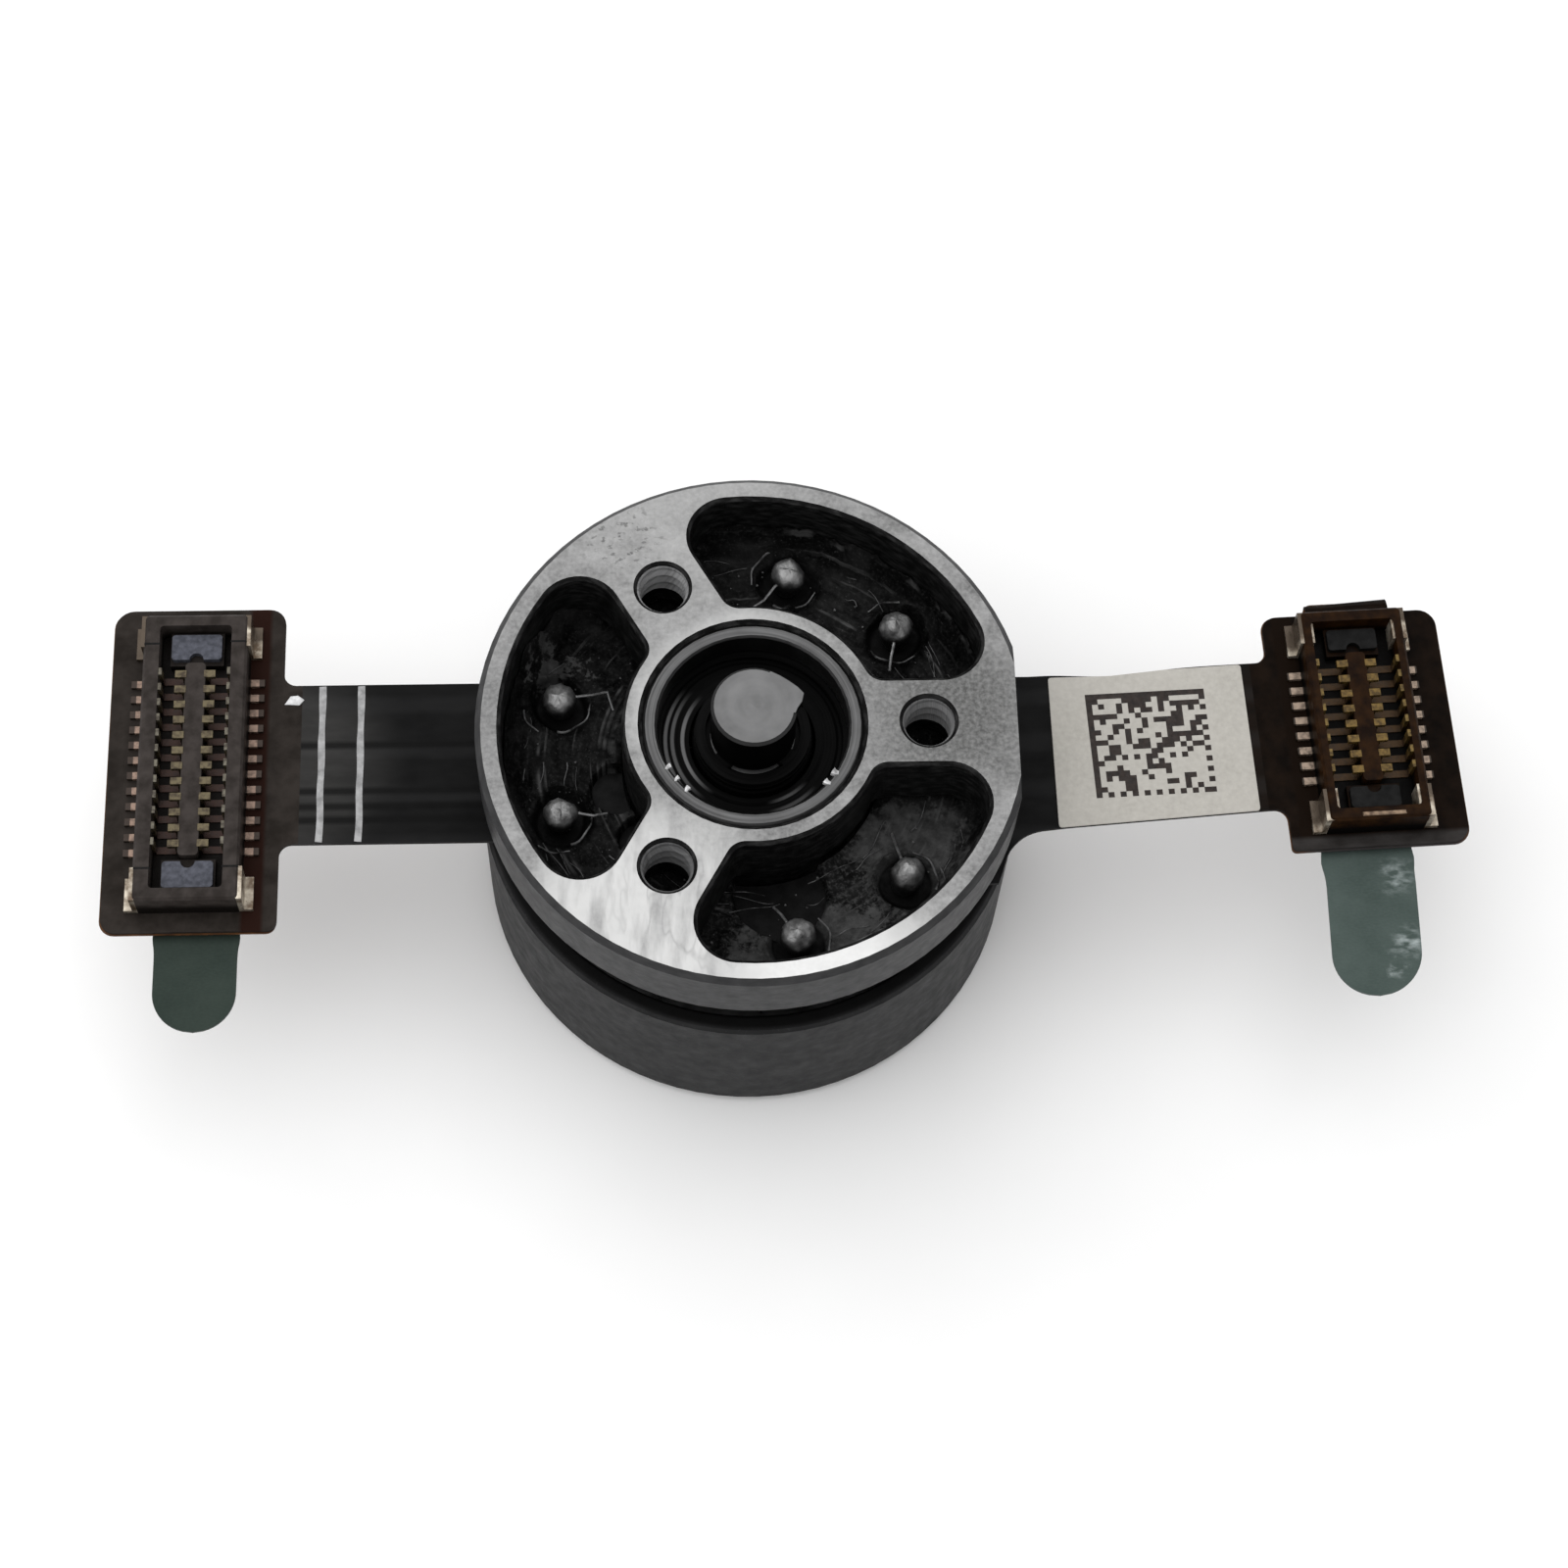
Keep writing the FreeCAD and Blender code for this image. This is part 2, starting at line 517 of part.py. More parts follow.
def connector(name, plug):
    """Housing, contacts, corner anchors and end plates of one connector."""
    x, y, half_l, z = plug["x"], plug["y"], plug["l"] / 2, FLEX_Z + FLEX_T
    span = (plug["contacts"] - 1) * CONTACT_PITCH
    housing = rounded_block(x - PLUG_HALF_W, x + PLUG_HALF_W, y - half_l, y + half_l, z, z + PLUG_H, 0.12)
    housing = housing.makeChamfer(0.06, top_edges(housing, z + PLUG_H))
    well_l = half_l - 0.3
    well = rounded_block(x - PLUG_HALF_W + plug["wall"], x + PLUG_HALF_W - plug["wall"],
                         y - well_l, y + well_l, z + PLUG_FLOOR, z + 2, 0.1)
    island_l = span / 2 + 0.3
    island = rounded_block(x - ISLAND_HALF_W, x + ISLAND_HALF_W, y - island_l, y + island_l,
                           z + PLUG_FLOOR - 0.05, z + PLUG_H - 0.2, 0.1)
    housing = housing.cut(well).fuse(island)
    contacts = []
    for i in range(plug["contacts"]):
        at = y - span / 2 + CONTACT_PITCH * i
        contacts += [contact(x, at, z, side, plug["wall"]) for side in (-1, 1)]
    anchors = []
    for end in (-1, 1):
        for side in (-1, 1):
            near = PLUG_HALF_W - plug["anchor"]
            a = sorted((x + side * near, x + side * (PLUG_HALF_W + 0.27)))
            b = sorted((y + end * (half_l - 0.84), y + end * (half_l - 0.02)))
            foot = block(*a, *b, z, z + 0.12)
            cheek = sorted((x + side * near, x + side * (PLUG_HALF_W + 0.07)))
            anchors.append(fused([foot, block(*cheek, *b, z, z + PLUG_H - 0.04)]))
    plates = []
    for end in (-1, 1):
        b = sorted((y + end * (island_l + 0.12), y + end * (well_l - 0.12)))
        seat = sorted((y + end * (island_l + 0.02), y + end * (well_l - 0.02)))
        housing = housing.fuse(block(x - 0.64, x + 0.64, *seat, z + 0.1, z + 0.42))
        top = z + 0.42 + 0.16
        plate = rounded_block(x - 0.60, x + 0.60, *b, z + 0.42, top, 0.08)
        notch_y = y + end * (island_l + 0.12)
        plates.append(plate.cut(cylinder(0.17, z, z + 2, x, notch_y)))
    housing = housing.cut(Part.makeCompound(contacts + anchors)).removeSplitter()
    save(f"{name}_connector_housing", [housing])
    save(f"{name}_connector_contacts", contacts)
    save(f"{name}_connector_anchors", anchors)
    save(f"{name}_connector_end_plates", plates)


def main():
    save("mount_plate", [mount_plate()])
    save("bearing_retainer", [bearing_retainer()])
    bearing("upper", UPPER_BEARING_Z)
    bearing("lower", LOWER_BEARING_Z)
    save("stator_laminations", laminations())
    lower, upper = insulators()
    save("lower_insulator", [lower])
    save("upper_insulator", [upper])
    winding = coil()
    for phase, first in (("a", 0), ("b", 1), ("c", 2)):
        save(f"coils_phase_{phase}", [turned(winding, angle) for angle in tooth_angles()[first::3]])
    save("terminal_board", [terminal_board()])
    pins, domes, wires = terminals()
    save("terminal_pins", pins)
    save("solder_joints", domes)
    save("lead_wires", wires)
    save("position_sensors", position_sensors())

    save("rotor_cup", [rotor_cup()])
    save("flux_ring", [ring(FLUX_R, MAGNET_R1, FLOOR_T, CUP_H - 0.1)])
    north, south = magnets()
    save("magnets_north", north)
    save("magnets_south", south)
    save("shaft", [shaft()])
    save("thrust_washer", [ring(INNER_RACE_R - 0.04, SHAFT_R, 1.3, LOWER_BEARING_Z)])
    save("preload_washer", [ring(INNER_RACE_R - 0.04, SHAFT_R, UPPER_BEARING_Z + BEARING_W, CLIP_Z)])
    save("retaining_clip", [retaining_clip()])

    save("left_flex_root", [flex_root(-1, LEFT_BEND_X, False)])
    save("left_flex", [flex_strip(-1, LEFT_BEND_X, LEFT_BOARD)])
    save("left_stiffener", [stiffener(LEFT_BOARD, False)])
    save("left_pull_tab", [pull_tab(LEFT_BOARD, -13.15, 1.95, 2.56)])
    connector("left", LEFT_PLUG)
    save("right_flex_root", [flex_root(1, RIGHT_BEND_X, True)])
    save("right_flex", [flex_strip(1, RIGHT_BEND_X, RIGHT_BOARD)])
    save("right_stiffener", [stiffener(RIGHT_BOARD, True)])
    save("right_pull_tab", [pull_tab(RIGHT_BOARD, 14.65, 2.15, 3.86)])
    save("right_label", [label()])
    connector("right", RIGHT_PLUG)


main()
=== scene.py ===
"""Flat gimbal motor with two flexible tails: its looks and camera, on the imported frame. Lengths are in mm."""

import json
import math
import random

import bpy
from mathutils import Matrix, Vector, noise


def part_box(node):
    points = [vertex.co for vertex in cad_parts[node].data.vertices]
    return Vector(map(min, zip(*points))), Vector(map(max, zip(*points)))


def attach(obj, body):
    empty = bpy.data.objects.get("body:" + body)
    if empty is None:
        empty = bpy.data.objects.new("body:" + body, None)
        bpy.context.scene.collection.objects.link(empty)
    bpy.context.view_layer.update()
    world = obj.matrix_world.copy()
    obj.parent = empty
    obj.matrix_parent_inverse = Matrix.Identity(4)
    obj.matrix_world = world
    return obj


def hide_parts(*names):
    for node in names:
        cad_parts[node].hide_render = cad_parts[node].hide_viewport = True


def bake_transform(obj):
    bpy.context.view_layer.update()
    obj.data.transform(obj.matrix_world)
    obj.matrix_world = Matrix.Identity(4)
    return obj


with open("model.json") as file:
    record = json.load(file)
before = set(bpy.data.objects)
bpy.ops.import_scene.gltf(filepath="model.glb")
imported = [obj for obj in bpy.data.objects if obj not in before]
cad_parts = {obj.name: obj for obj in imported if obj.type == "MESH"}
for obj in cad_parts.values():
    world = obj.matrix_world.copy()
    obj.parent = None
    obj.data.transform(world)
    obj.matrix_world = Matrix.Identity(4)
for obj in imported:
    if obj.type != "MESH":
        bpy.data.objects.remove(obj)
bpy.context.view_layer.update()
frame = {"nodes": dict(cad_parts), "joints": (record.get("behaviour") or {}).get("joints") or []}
MM = 0.001


# --- places read from the frame ---
def box_mm(node):
    low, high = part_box(node)
    return low / MM, high / MM


def joint(name):
    return next(j for j in frame["joints"] if j["name"] == name)


PLATE_TOP = box_mm("mount_plate")[1].z
BOARD_BOTTOM, BOARD_TOP = (corner.z for corner in box_mm("terminal_board"))
FILM_BOTTOM, FILM_TOP = (corner.z for corner in box_mm("left_flex_root"))
BOARD_FACE = FILM_TOP + 0.42   # level of the resin
SPOKES = (0, 120, 240)
SPOKE_HALF = 1.13
SCREW_CIRCLE_R = 4.12
WINDOW_R = 5.9                 # outer wall of the plate's windows
WINDOW_CORNER = 0.95
TERMINALS = (42, 78, 162, 198, 282, 318)
TERMINAL_R = 4.8
LEFT_BEND = Vector(joint("left_tail_bend")["pos_m"]) / MM
RIGHT_BEND = Vector(joint("right_tail_bend")["pos_m"]) / MM
RIGHT_AXIS = Vector(joint("right_tail_bend")["axis"])
RIGHT_TURN = math.atan2(RIGHT_AXIS.x, -RIGHT_AXIS.y)
RIGHT_PIVOT = Vector((6.2, 0.3, 0))
LEFT_CORNERS = (0.40, 0.46, 0.36, 0.24)
RIGHT_CORNERS = (0.36, 0.42, 0.42, 0.12)
NECK_FILLET = 0.3              # where a strip widens into its end board
BASE_TOP = FILM_BOTTOM + 0.05   # between the base film and the coverlay
TAIL_TOWARD = Matrix.Rotation(RIGHT_TURN, 3, "Z") @ Vector((1, 0, 0))


def flat_box(node, turn=RIGHT_TURN):
    """Bounds in mm of a piece of a tail, along the tail's own axes."""
    back = Matrix.Rotation(-turn, 3, "Z")
    corners = [back @ (v.co / MM - RIGHT_PIVOT) + RIGHT_PIVOT for v in frame["nodes"][node].data.vertices]
    return [Vector([pick(c[i] for c in corners) for i in range(3)]) for pick in (min, max)]


# --- mesh helpers ---
def add(name, data):
    obj = bpy.data.objects.new(name, data)
    bpy.context.scene.collection.objects.link(obj)
    return obj


def piece(name, verts, faces, material, body, slot, replaces=(), sharp=35):
    """A mesh piece from corners in mm. A piece without a body is left unattached."""
    mesh = bpy.data.meshes.new(name)
    mesh.from_pydata([Vector(v) * MM for v in verts], [], faces)
    mesh.validate()
    obj = add(name, mesh)
    for m in material if isinstance(material, list) else [material]:
        mesh.materials.append(m)
    mesh.shade_smooth()
    mesh.set_sharp_from_angle(angle=math.radians(sharp))
    if body:
        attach(obj, body)
    if replaces:
        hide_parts(*replaces)
    return obj


def bevel(obj, width):
    mod = obj.modifiers.new("edge", "BEVEL")
    mod.width = width * MM
    mod.segments = 2
    mod.limit_method = "ANGLE"
    mod.angle_limit = math.radians(35)
    mod.harden_normals = True
    return obj


def ring_faces(rings, steps):
    """Quads between closed rings of points."""
    quads = []
    for i in range(rings):
        for k in range(steps):
            a, b = i * steps + k, i * steps + (k + 1) % steps
            quads.append((a, b, b + steps, a + steps))
    return quads


class Build:
    """Gathers corners and faces of one piece."""

    def __init__(self):
        self.verts, self.faces = [], []

    def add(self, verts, faces):
        base = len(self.verts)
        self.verts += [Vector(v) for v in verts]
        self.faces += [[base + i for i in f] for f in faces]

    def brick(self, low, high, taper=0.0):
        (x0, y0, z0), (x1, y1, z1) = low, high
        verts = [(x0, y0, z0), (x1, y0, z0), (x1, y1, z0), (x0, y1, z0)]
        x0, y0, x1, y1 = x0 + taper, y0 + taper, x1 - taper, y1 - taper
        verts += [(x0, y0, z1), (x1, y0, z1), (x1, y1, z1), (x0, y1, z1)]
        self.add(verts, [(3, 2, 1, 0), (4, 5, 6, 7), (0, 1, 5, 4), (1, 2, 6, 5), (2, 3, 7, 6), (3, 0, 4, 7)])

    def tube(self, path, radius, sides=8, taper=1.0):
        """A round tube along points, with closed ends. The far end is taper times as thick."""
        path = [Vector(p) for p in path]
        verts = []
        for i, p in enumerate(path):
            run = (path[min(i + 1, len(path) - 1)] - path[max(i - 1, 0)]).normalized()
            u = run.cross(Vector((0, 0, 1)))
            if u.length < 0.05:
                u = run.cross(Vector((0, 1, 0)))
            u.normalize()
            w = run.cross(u)
            r = radius * (1 + (taper - 1) * i / max(1, len(path) - 1))
            for k in range(sides):
                a = 2 * math.pi * k / sides
                verts.append(p + (u * math.cos(a) + w * math.sin(a)) * r)
        last = len(verts) - sides
        ends = [tuple(range(sides)), tuple(last + k for k in reversed(range(sides)))]
        self.add(verts, ring_faces(len(path) - 1, sides) + ends)

    def lathe(self, profile, steps=48, centre=(0, 0, 0), wobble=None):
        """A turned surface from (radius, z) points."""
        verts = []
        for r, z in profile:
            for k in range(steps):
                a = 2 * math.pi * k / steps
                v = Vector((r * math.cos(a), r * math.sin(a), z))
                verts.append(Vector(centre) + (wobble(v) if wobble else v))
        self.add(verts, ring_faces(len(profile) - 1, steps))

    def slab(self, outline, z0, z1):
        """A plate with this outline, given anticlockwise."""
        n = len(outline)
        verts = [(x, y, z0) for x, y in outline] + [(x, y, z1) for x, y in outline]
        faces = [tuple(reversed(range(n))), tuple(range(n, 2 * n))]
        faces += [(i, (i + 1) % n, n + (i + 1) % n, n + i) for i in range(n)]
        self.add(verts, faces)

    def turned(self, angle, pivot):
        spin = Matrix.Rotation(angle, 3, "Z")
        self.verts = [spin @ (v - pivot) + pivot for v in self.verts]
        return self

    def piece(self, name, material, body, slot, **options):
        return piece(name, self.verts, self.faces, material, body, slot, **options)


def rounded(corners, radii, steps=4):
    """An outline with its corners rounded. A radius of 0 keeps the corner sharp."""
    points = []
    for i, (c, r) in enumerate(zip(corners, radii)):
        c = Vector(c)
        if not r:
            points.append(tuple(c))
            continue
        a = (Vector(corners[i - 1]) - c).normalized()
        b = (Vector(corners[(i + 1) % len(corners)]) - c).normalized()
        half = a.angle(b) / 2
        reach = r / math.tan(half)
        centre = c + (a + b).normalized() * (r / math.sin(half))
        start = c + a * reach - centre
        sweep = start.angle_signed(c + b * reach - centre)
        points += [tuple(centre + Matrix.Rotation(-sweep * k / steps, 2) @ start) for k in range(steps + 1)]
    return points


def fuzz(p, scale, seed=0.0):
    return noise.fractal(Vector(p) * scale + Vector((seed, seed * 0.7, 3 * seed)), 0.7, 2.1, 4)


# --- materials ---
def grey(v):
    return (v, v, v * 1.01)


def scaled(colour, by):
    return tuple(c * by for c in colour)


def rgba(value):
    """A colour with its alpha, from a colour or a grey value."""
    return (*value, 1) if isinstance(value, tuple) else (value, value, value, 1)


class Shade:
    """Builds a procedural material in object space, with lengths in mm."""

    def __init__(self, name):
        self.mat = bpy.data.materials.new(name)
        self.mat.use_nodes = True
        self.tree = self.mat.node_tree
        self.bsdf = self.tree.nodes["Principled BSDF"]
        self.coords = self.node("ShaderNodeTexCoord")

    def node(self, kind, **settings):
        n = self.tree.nodes.new(kind)
        for key, value in settings.items():
            setattr(n, key, value)
        return n

    def link(self, a, b):
        self.tree.links.new(a, b)

    def place(self, stretch=(1, 1, 1), turn=(0, 0, 0), offset=(0, 0, 0)):
        m = self.node("ShaderNodeMapping")
        m.inputs["Scale"].default_value = [s / MM for s in stretch]
        m.inputs["Rotation"].default_value = turn
        m.inputs["Location"].default_value = offset
        self.link(self.coords.outputs["Object"], m.inputs["Vector"])
        return m.outputs["Vector"]

    def noise(self, place, size, detail, rough=0.5):
        n = self.node("ShaderNodeTexNoise")
        n.inputs["Scale"].default_value = 1 / size
        n.inputs["Detail"].default_value = detail
        n.inputs["Roughness"].default_value = rough
        self.link(place, n.inputs["Vector"])
        return n.outputs["Fac"]

    def grain(self, size, detail=4, stretch=(1, 1, 1), turn=(0, 0, 0), offset=(0, 0, 0), rough=0.55):
        return self.noise(self.place(stretch, turn, offset), size, detail, rough)

    def vector(self, operation, a, b=None):
        n = self.node("ShaderNodeVectorMath", operation=operation)
        self.link(a, n.inputs[0])
        if b:
            n.inputs[1].default_value = b
        return n.outputs["Value" if operation in ("LENGTH", "DISTANCE") else "Vector"]

    def axes(self, place):
        """The X, Y and Z of a vector."""
        n = self.node("ShaderNodeSeparateXYZ")
        self.link(place, n.inputs[0])
        return n.outputs["X"], n.outputs["Y"], n.outputs["Z"]

    def join(self, x, y, z=None):
        n = self.node("ShaderNodeCombineXYZ")
        for socket, value in zip(n.inputs, (x, y, z)):
            if value is not None:
                self.link(value, socket)
        return n.outputs[0]

    def radial(self, size, detail=3, stretch=30.0):
        """Noise that runs in circles about the shaft: fine across the radius, long round it."""
        x, y, _ = self.axes(self.place())
        flat = self.join(x, y)
        aim_x, aim_y, _ = self.axes(self.vector("NORMALIZE", flat))
        place = self.join(self.times(self.vector("LENGTH", flat), stretch), aim_x, aim_y)
        return self.noise(place, size, detail)

    def math(self, operation, a, b=0.0):
        n = self.node("ShaderNodeMath", operation=operation)
        for i, value in enumerate((a, b)):
            if isinstance(value, (int, float)):
                n.inputs[i].default_value = value
            else:
                self.link(value, n.inputs[i])
        return n.outputs[0]

    def times(self, a, b):
        return self.math("MULTIPLY", a, b)

    def gap(self, a, b):
        """How far two values are apart."""
        return self.math("ABSOLUTE", self.math("SUBTRACT", a, b))

    def step(self, value, zero, one):
        """Smoothly from 0 at one value to 1 at another."""
        n = self.node("ShaderNodeMapRange", interpolation_type="SMOOTHSTEP")
        n.inputs["From Min"].default_value = zero
        n.inputs["From Max"].default_value = one
        self.link(value, n.inputs["Value"])
        return n.outputs["Result"]

    def ramp(self, fac, stops):
        """Colour or grey value by position, from (place, colour or value) stops."""
        n = self.node("ShaderNodeValToRGB")
        while len(n.color_ramp.elements) < len(stops):
            n.color_ramp.elements.new(0.5)
        for element, (place, value) in zip(n.color_ramp.elements, stops):
            element.position = place
            element.color = rgba(value)
        self.link(fac, n.inputs["Fac"])
        return n.outputs["Color"]

    def tone(self, fac, dark, light, low=0.3, high=0.7):
        """One colour or value up to low, another from high on."""
        return self.ramp(fac, [(low, dark), (high, light)])

    def mask(self, fac, low, high):
        return self.tone(fac, 0.0, 1.0, low, high)

    def near(self, at, inner, outer, ragged=0.0):
        """1 within inner mm of a point in the XY plane, 0 beyond outer mm. Ragged moves the edge, in mm."""
        reach = self.vector("DISTANCE", self.vector("MULTIPLY", self.place(), (1, 1, 0)), (*at, 0))
        if ragged:
            wander = self.times(self.math("SUBTRACT", self.grain(0.55, 6, rough=0.7), 0.5), 4 * ragged)
            reach = self.math("ADD", reach, wander)
        return self.step(reach, outer, inner)

    def mix(self, fac, a, b):
        n = self.node("ShaderNodeMix", data_type="RGBA")
        self.link(fac, n.inputs[0])
        for socket, value in ((n.inputs[6], a), (n.inputs[7], b)):
            if isinstance(value, (tuple, float)):
                socket.default_value = rgba(value)
            else:
                self.link(value, socket)
        return n.outputs[2]

    def upward(self, low=0.75, high=0.95):
        """1 on faces that look up, 0 on upright ones."""
        return self.step(self.axes(self.coords.outputs["Normal"])[2], low, high)

    def bump(self, height, depth, strength=1.0):
        """Adds relief. Depth in mm."""
        n = self.node("ShaderNodeBump")
        n.inputs["Strength"].default_value = strength
        n.inputs["Distance"].default_value = depth * MM
        self.link(height, n.inputs["Height"])
        old = self.bsdf.inputs["Normal"]
        if old.is_linked:
            self.link(old.links[0].from_socket, n.inputs["Normal"])
        self.link(n.outputs["Normal"], old)

    def finish(self, colour, rough, metal=0.0, shine=0.5):
        self.bsdf.inputs["Specular IOR Level"].default_value = shine
        for socket, value in (("Base Color", colour), ("Roughness", rough), ("Metallic", metal)):
            if isinstance(value, (int, float)):
                self.bsdf.inputs[socket].default_value = value
            else:
                self.link(value, self.bsdf.inputs[socket])
        return self.mat


def simple(name, dark, light, rough=(0.35, 0.55), metal=0.0, size=0.25, depth=0.004, stretch=(1, 1, 1),
           gloss=0.3):
    """A two-tone mottled surface with fine relief."""
    s = Shade(name)
    colour = s.tone(s.grain(size, 5, stretch), dark, light, 0.35, 0.65)
    shine = s.tone(s.grain(size * 0.6, 3, stretch, offset=(3, 7, 1)), *rough, 0.35, 0.65)
    s.bump(s.grain(0.05, 3, stretch), depth)
    return s.finish(colour, shine, metal, gloss)


def plate_material():
    """Satin face with patches of painted reflection and painted shade and a painted highlight on the hub's rim;
    the sides are painted dark as shade, and the bores darker still as painted shade.
    """
    s = Shade("machined_plate")
    face = s.tone(s.grain(0.8, 6, offset=(2, 5, 0), rough=0.7), 0.11, 0.25, 0.34, 0.66)
    streak = s.grain(0.9, 4, (1.9, 0.42, 1), (0, 0, math.radians(-32)))
    brushed = s.tone(streak, 0.27, (0.47, 0.47, 0.467), 0.34, 0.58)
    # Patches of painted reflection (lighter, the lower-left one with brushed streaks) and painted shade
    # (darker, at the left and on the right spoke).
    for at, inner, outer, amount, light in (
            ((-1.2, 6.0), 0.6, 4.6, 0.5, (0.32, 0.32, 0.318)), ((-2.7, -4.9), 1.5, 3.7, 1, brushed),
            ((1.6, -6.6), 1.0, 3.6, 1, (0.58, 0.58, 0.577)), ((-6.7, 0.2), 0.6, 3.6, 0.55, 0.13),
            ((4.7, 0.2), 0.6, 3.0, 1, (0.075, 0.075, 0.074))):
        face = s.mix(s.times(s.near(at, inner, outer), amount), face, light)
    # Painted highlight on the upper left of the hub's rim.
    rim = s.times(s.near((0, 0), 2.6, 3.2), s.near((-1.2, 1.6), 1.8, 3.6))
    face = s.mix(s.times(rim, 0.6), face, (0.42, 0.42, 0.418))
    pits = s.mask(s.grain(0.20, 3, (1, 1.5, 1), offset=(9, 2, 4)), 0.57, 0.64)
    where = s.times(pits, s.near((-3.0, 4.9), 0.3, 1.4))
    face = s.mix(s.times(where, 0.8), face, 0.05)
    vein = s.gap(s.grain(1.0, 2, (2.0, 0.7, 1), (0, 0, math.radians(-24)), (4, 4, 4)), 0.5)
    vein = s.times(s.tone(vein, 1.0, 0.0, 0.0, 0.045), s.near((-1.6, -4.6), 1.0, 2.3))
    face = s.mix(s.times(vein, 0.45), face, 0.20)
    fine = s.mask(s.grain(0.11, 3, offset=(1, 2, 7)), 0.35, 0.70)
    face = s.mix(s.times(fine, 0.25), face, (0.45, 0.45, 0.447))
    # Sides and bores darker than the face: painted shade.
    side = s.tone(s.grain(0.4, 4, (1, 1, 3)), (0.026, 0.026, 0.027), (0.045, 0.045, 0.046))
    bore_shade = s.tone(s.grain(0.35, 5, (1, 1, 4), offset=(5, 5, 1)), 0.003, 0.026, 0.45, 0.70)
    side = s.mix(s.near((0, 0), 6.0, 6.1), side, bore_shade)
    up = s.upward(0.78, 0.95)
    shine = s.tone(s.grain(0.3, 5), 0.34, 0.48)
    s.bump(s.grain(0.06, 3), 0.003)
    s.bump(s.grain(0.7, 2), 0.006, 0.6)
    return s.finish(s.mix(up, side, face), shine, s.tone(up, 0.0, 0.5, 0.0, 1.0), 0.10)


def turned_metal(name, dark, light, rough=(0.25, 0.4), metal=1.0, gloss=0.5):
    """Lathe marks round the shaft's axis."""
    s = Shade(name)
    marks = s.radial(1.2)
    s.bump(marks, 0.002)
    s.bump(s.grain(0.08, 3), 0.0012)
    return s.finish(s.tone(marks, dark, light), s.tone(s.grain(0.5, 4), *rough), metal, gloss)


def shaft_material():
    """Ground end face over a side painted black as shade."""
    s = Shade("shaft_end")
    cloud = s.tone(s.grain(0.5, 4), grey(0.105), grey(0.145))
    ring = s.mask(s.radial(3.0, 2, 8.0), 0.4, 0.7)
    face = s.mix(s.times(ring, 0.35), cloud, grey(0.20))
    # Painted shade: faces that don't look up are near black.
    up = s.upward(0.6, 0.95)
    s.bump(s.grain(0.08, 3), 0.0015)
    return s.finish(s.mix(up, grey(0.0015), face), s.tone(cloud, 0.4, 0.5, 0.1, 0.2), 0.5, 0.04)


def shield_material():
    """Shields painted near black as shade, with painted highlight arcs on their left side."""
    s = Shade("bearing_shields")
    colour = s.tone(s.radial(1.2), grey(0.001), grey(0.003))
    # Painted highlights: light arcs on the left side of the shields.
    left = s.math("ADD", s.near((-2.1, -0.2), 0.7, 1.7), s.times(s.near((1.0, -1.75), 0.2, 0.75), 0.5))
    for radius, light in ((1.68, 0.16), (1.92, 0.10), (2.08, 0.13)):
        outside = s.tone(s.near((0, 0), radius - 0.09, radius - 0.05), 1.0, 0.0, 0.0, 1.0)
        band = s.times(s.near((0, 0), radius, radius + 0.03), outside)
        colour = s.mix(s.times(band, left), colour, grey(light))
    s.bump(s.radial(1.2), 0.002)
    return s.finish(colour, s.tone(s.grain(0.5, 4), 0.3, 0.42), 0.0, 0.02)


def cup_material():
    s = Shade("cup_coating")
    colour = s.tone(s.grain(0.9, 5), (0.013, 0.013, 0.0135), (0.023, 0.023, 0.0235))
    speck = s.mask(s.grain(0.07, 2), 0.62, 0.72)
    colour = s.mix(s.times(speck, 0.3), colour, (0.06, 0.06, 0.062))
    # Painted shade: the cup is near black within 6.3 mm of the axis, under the plate.
    colour = s.mix(s.near((0, 0), 6.3, 6.42), colour, 0.004)
    shine = s.tone(s.grain(0.35, 4), 0.45, 0.60)
    s.bump(s.grain(0.09, 3), 0.003)
    return s.finish(colour, shine, 0.0, 0.10)


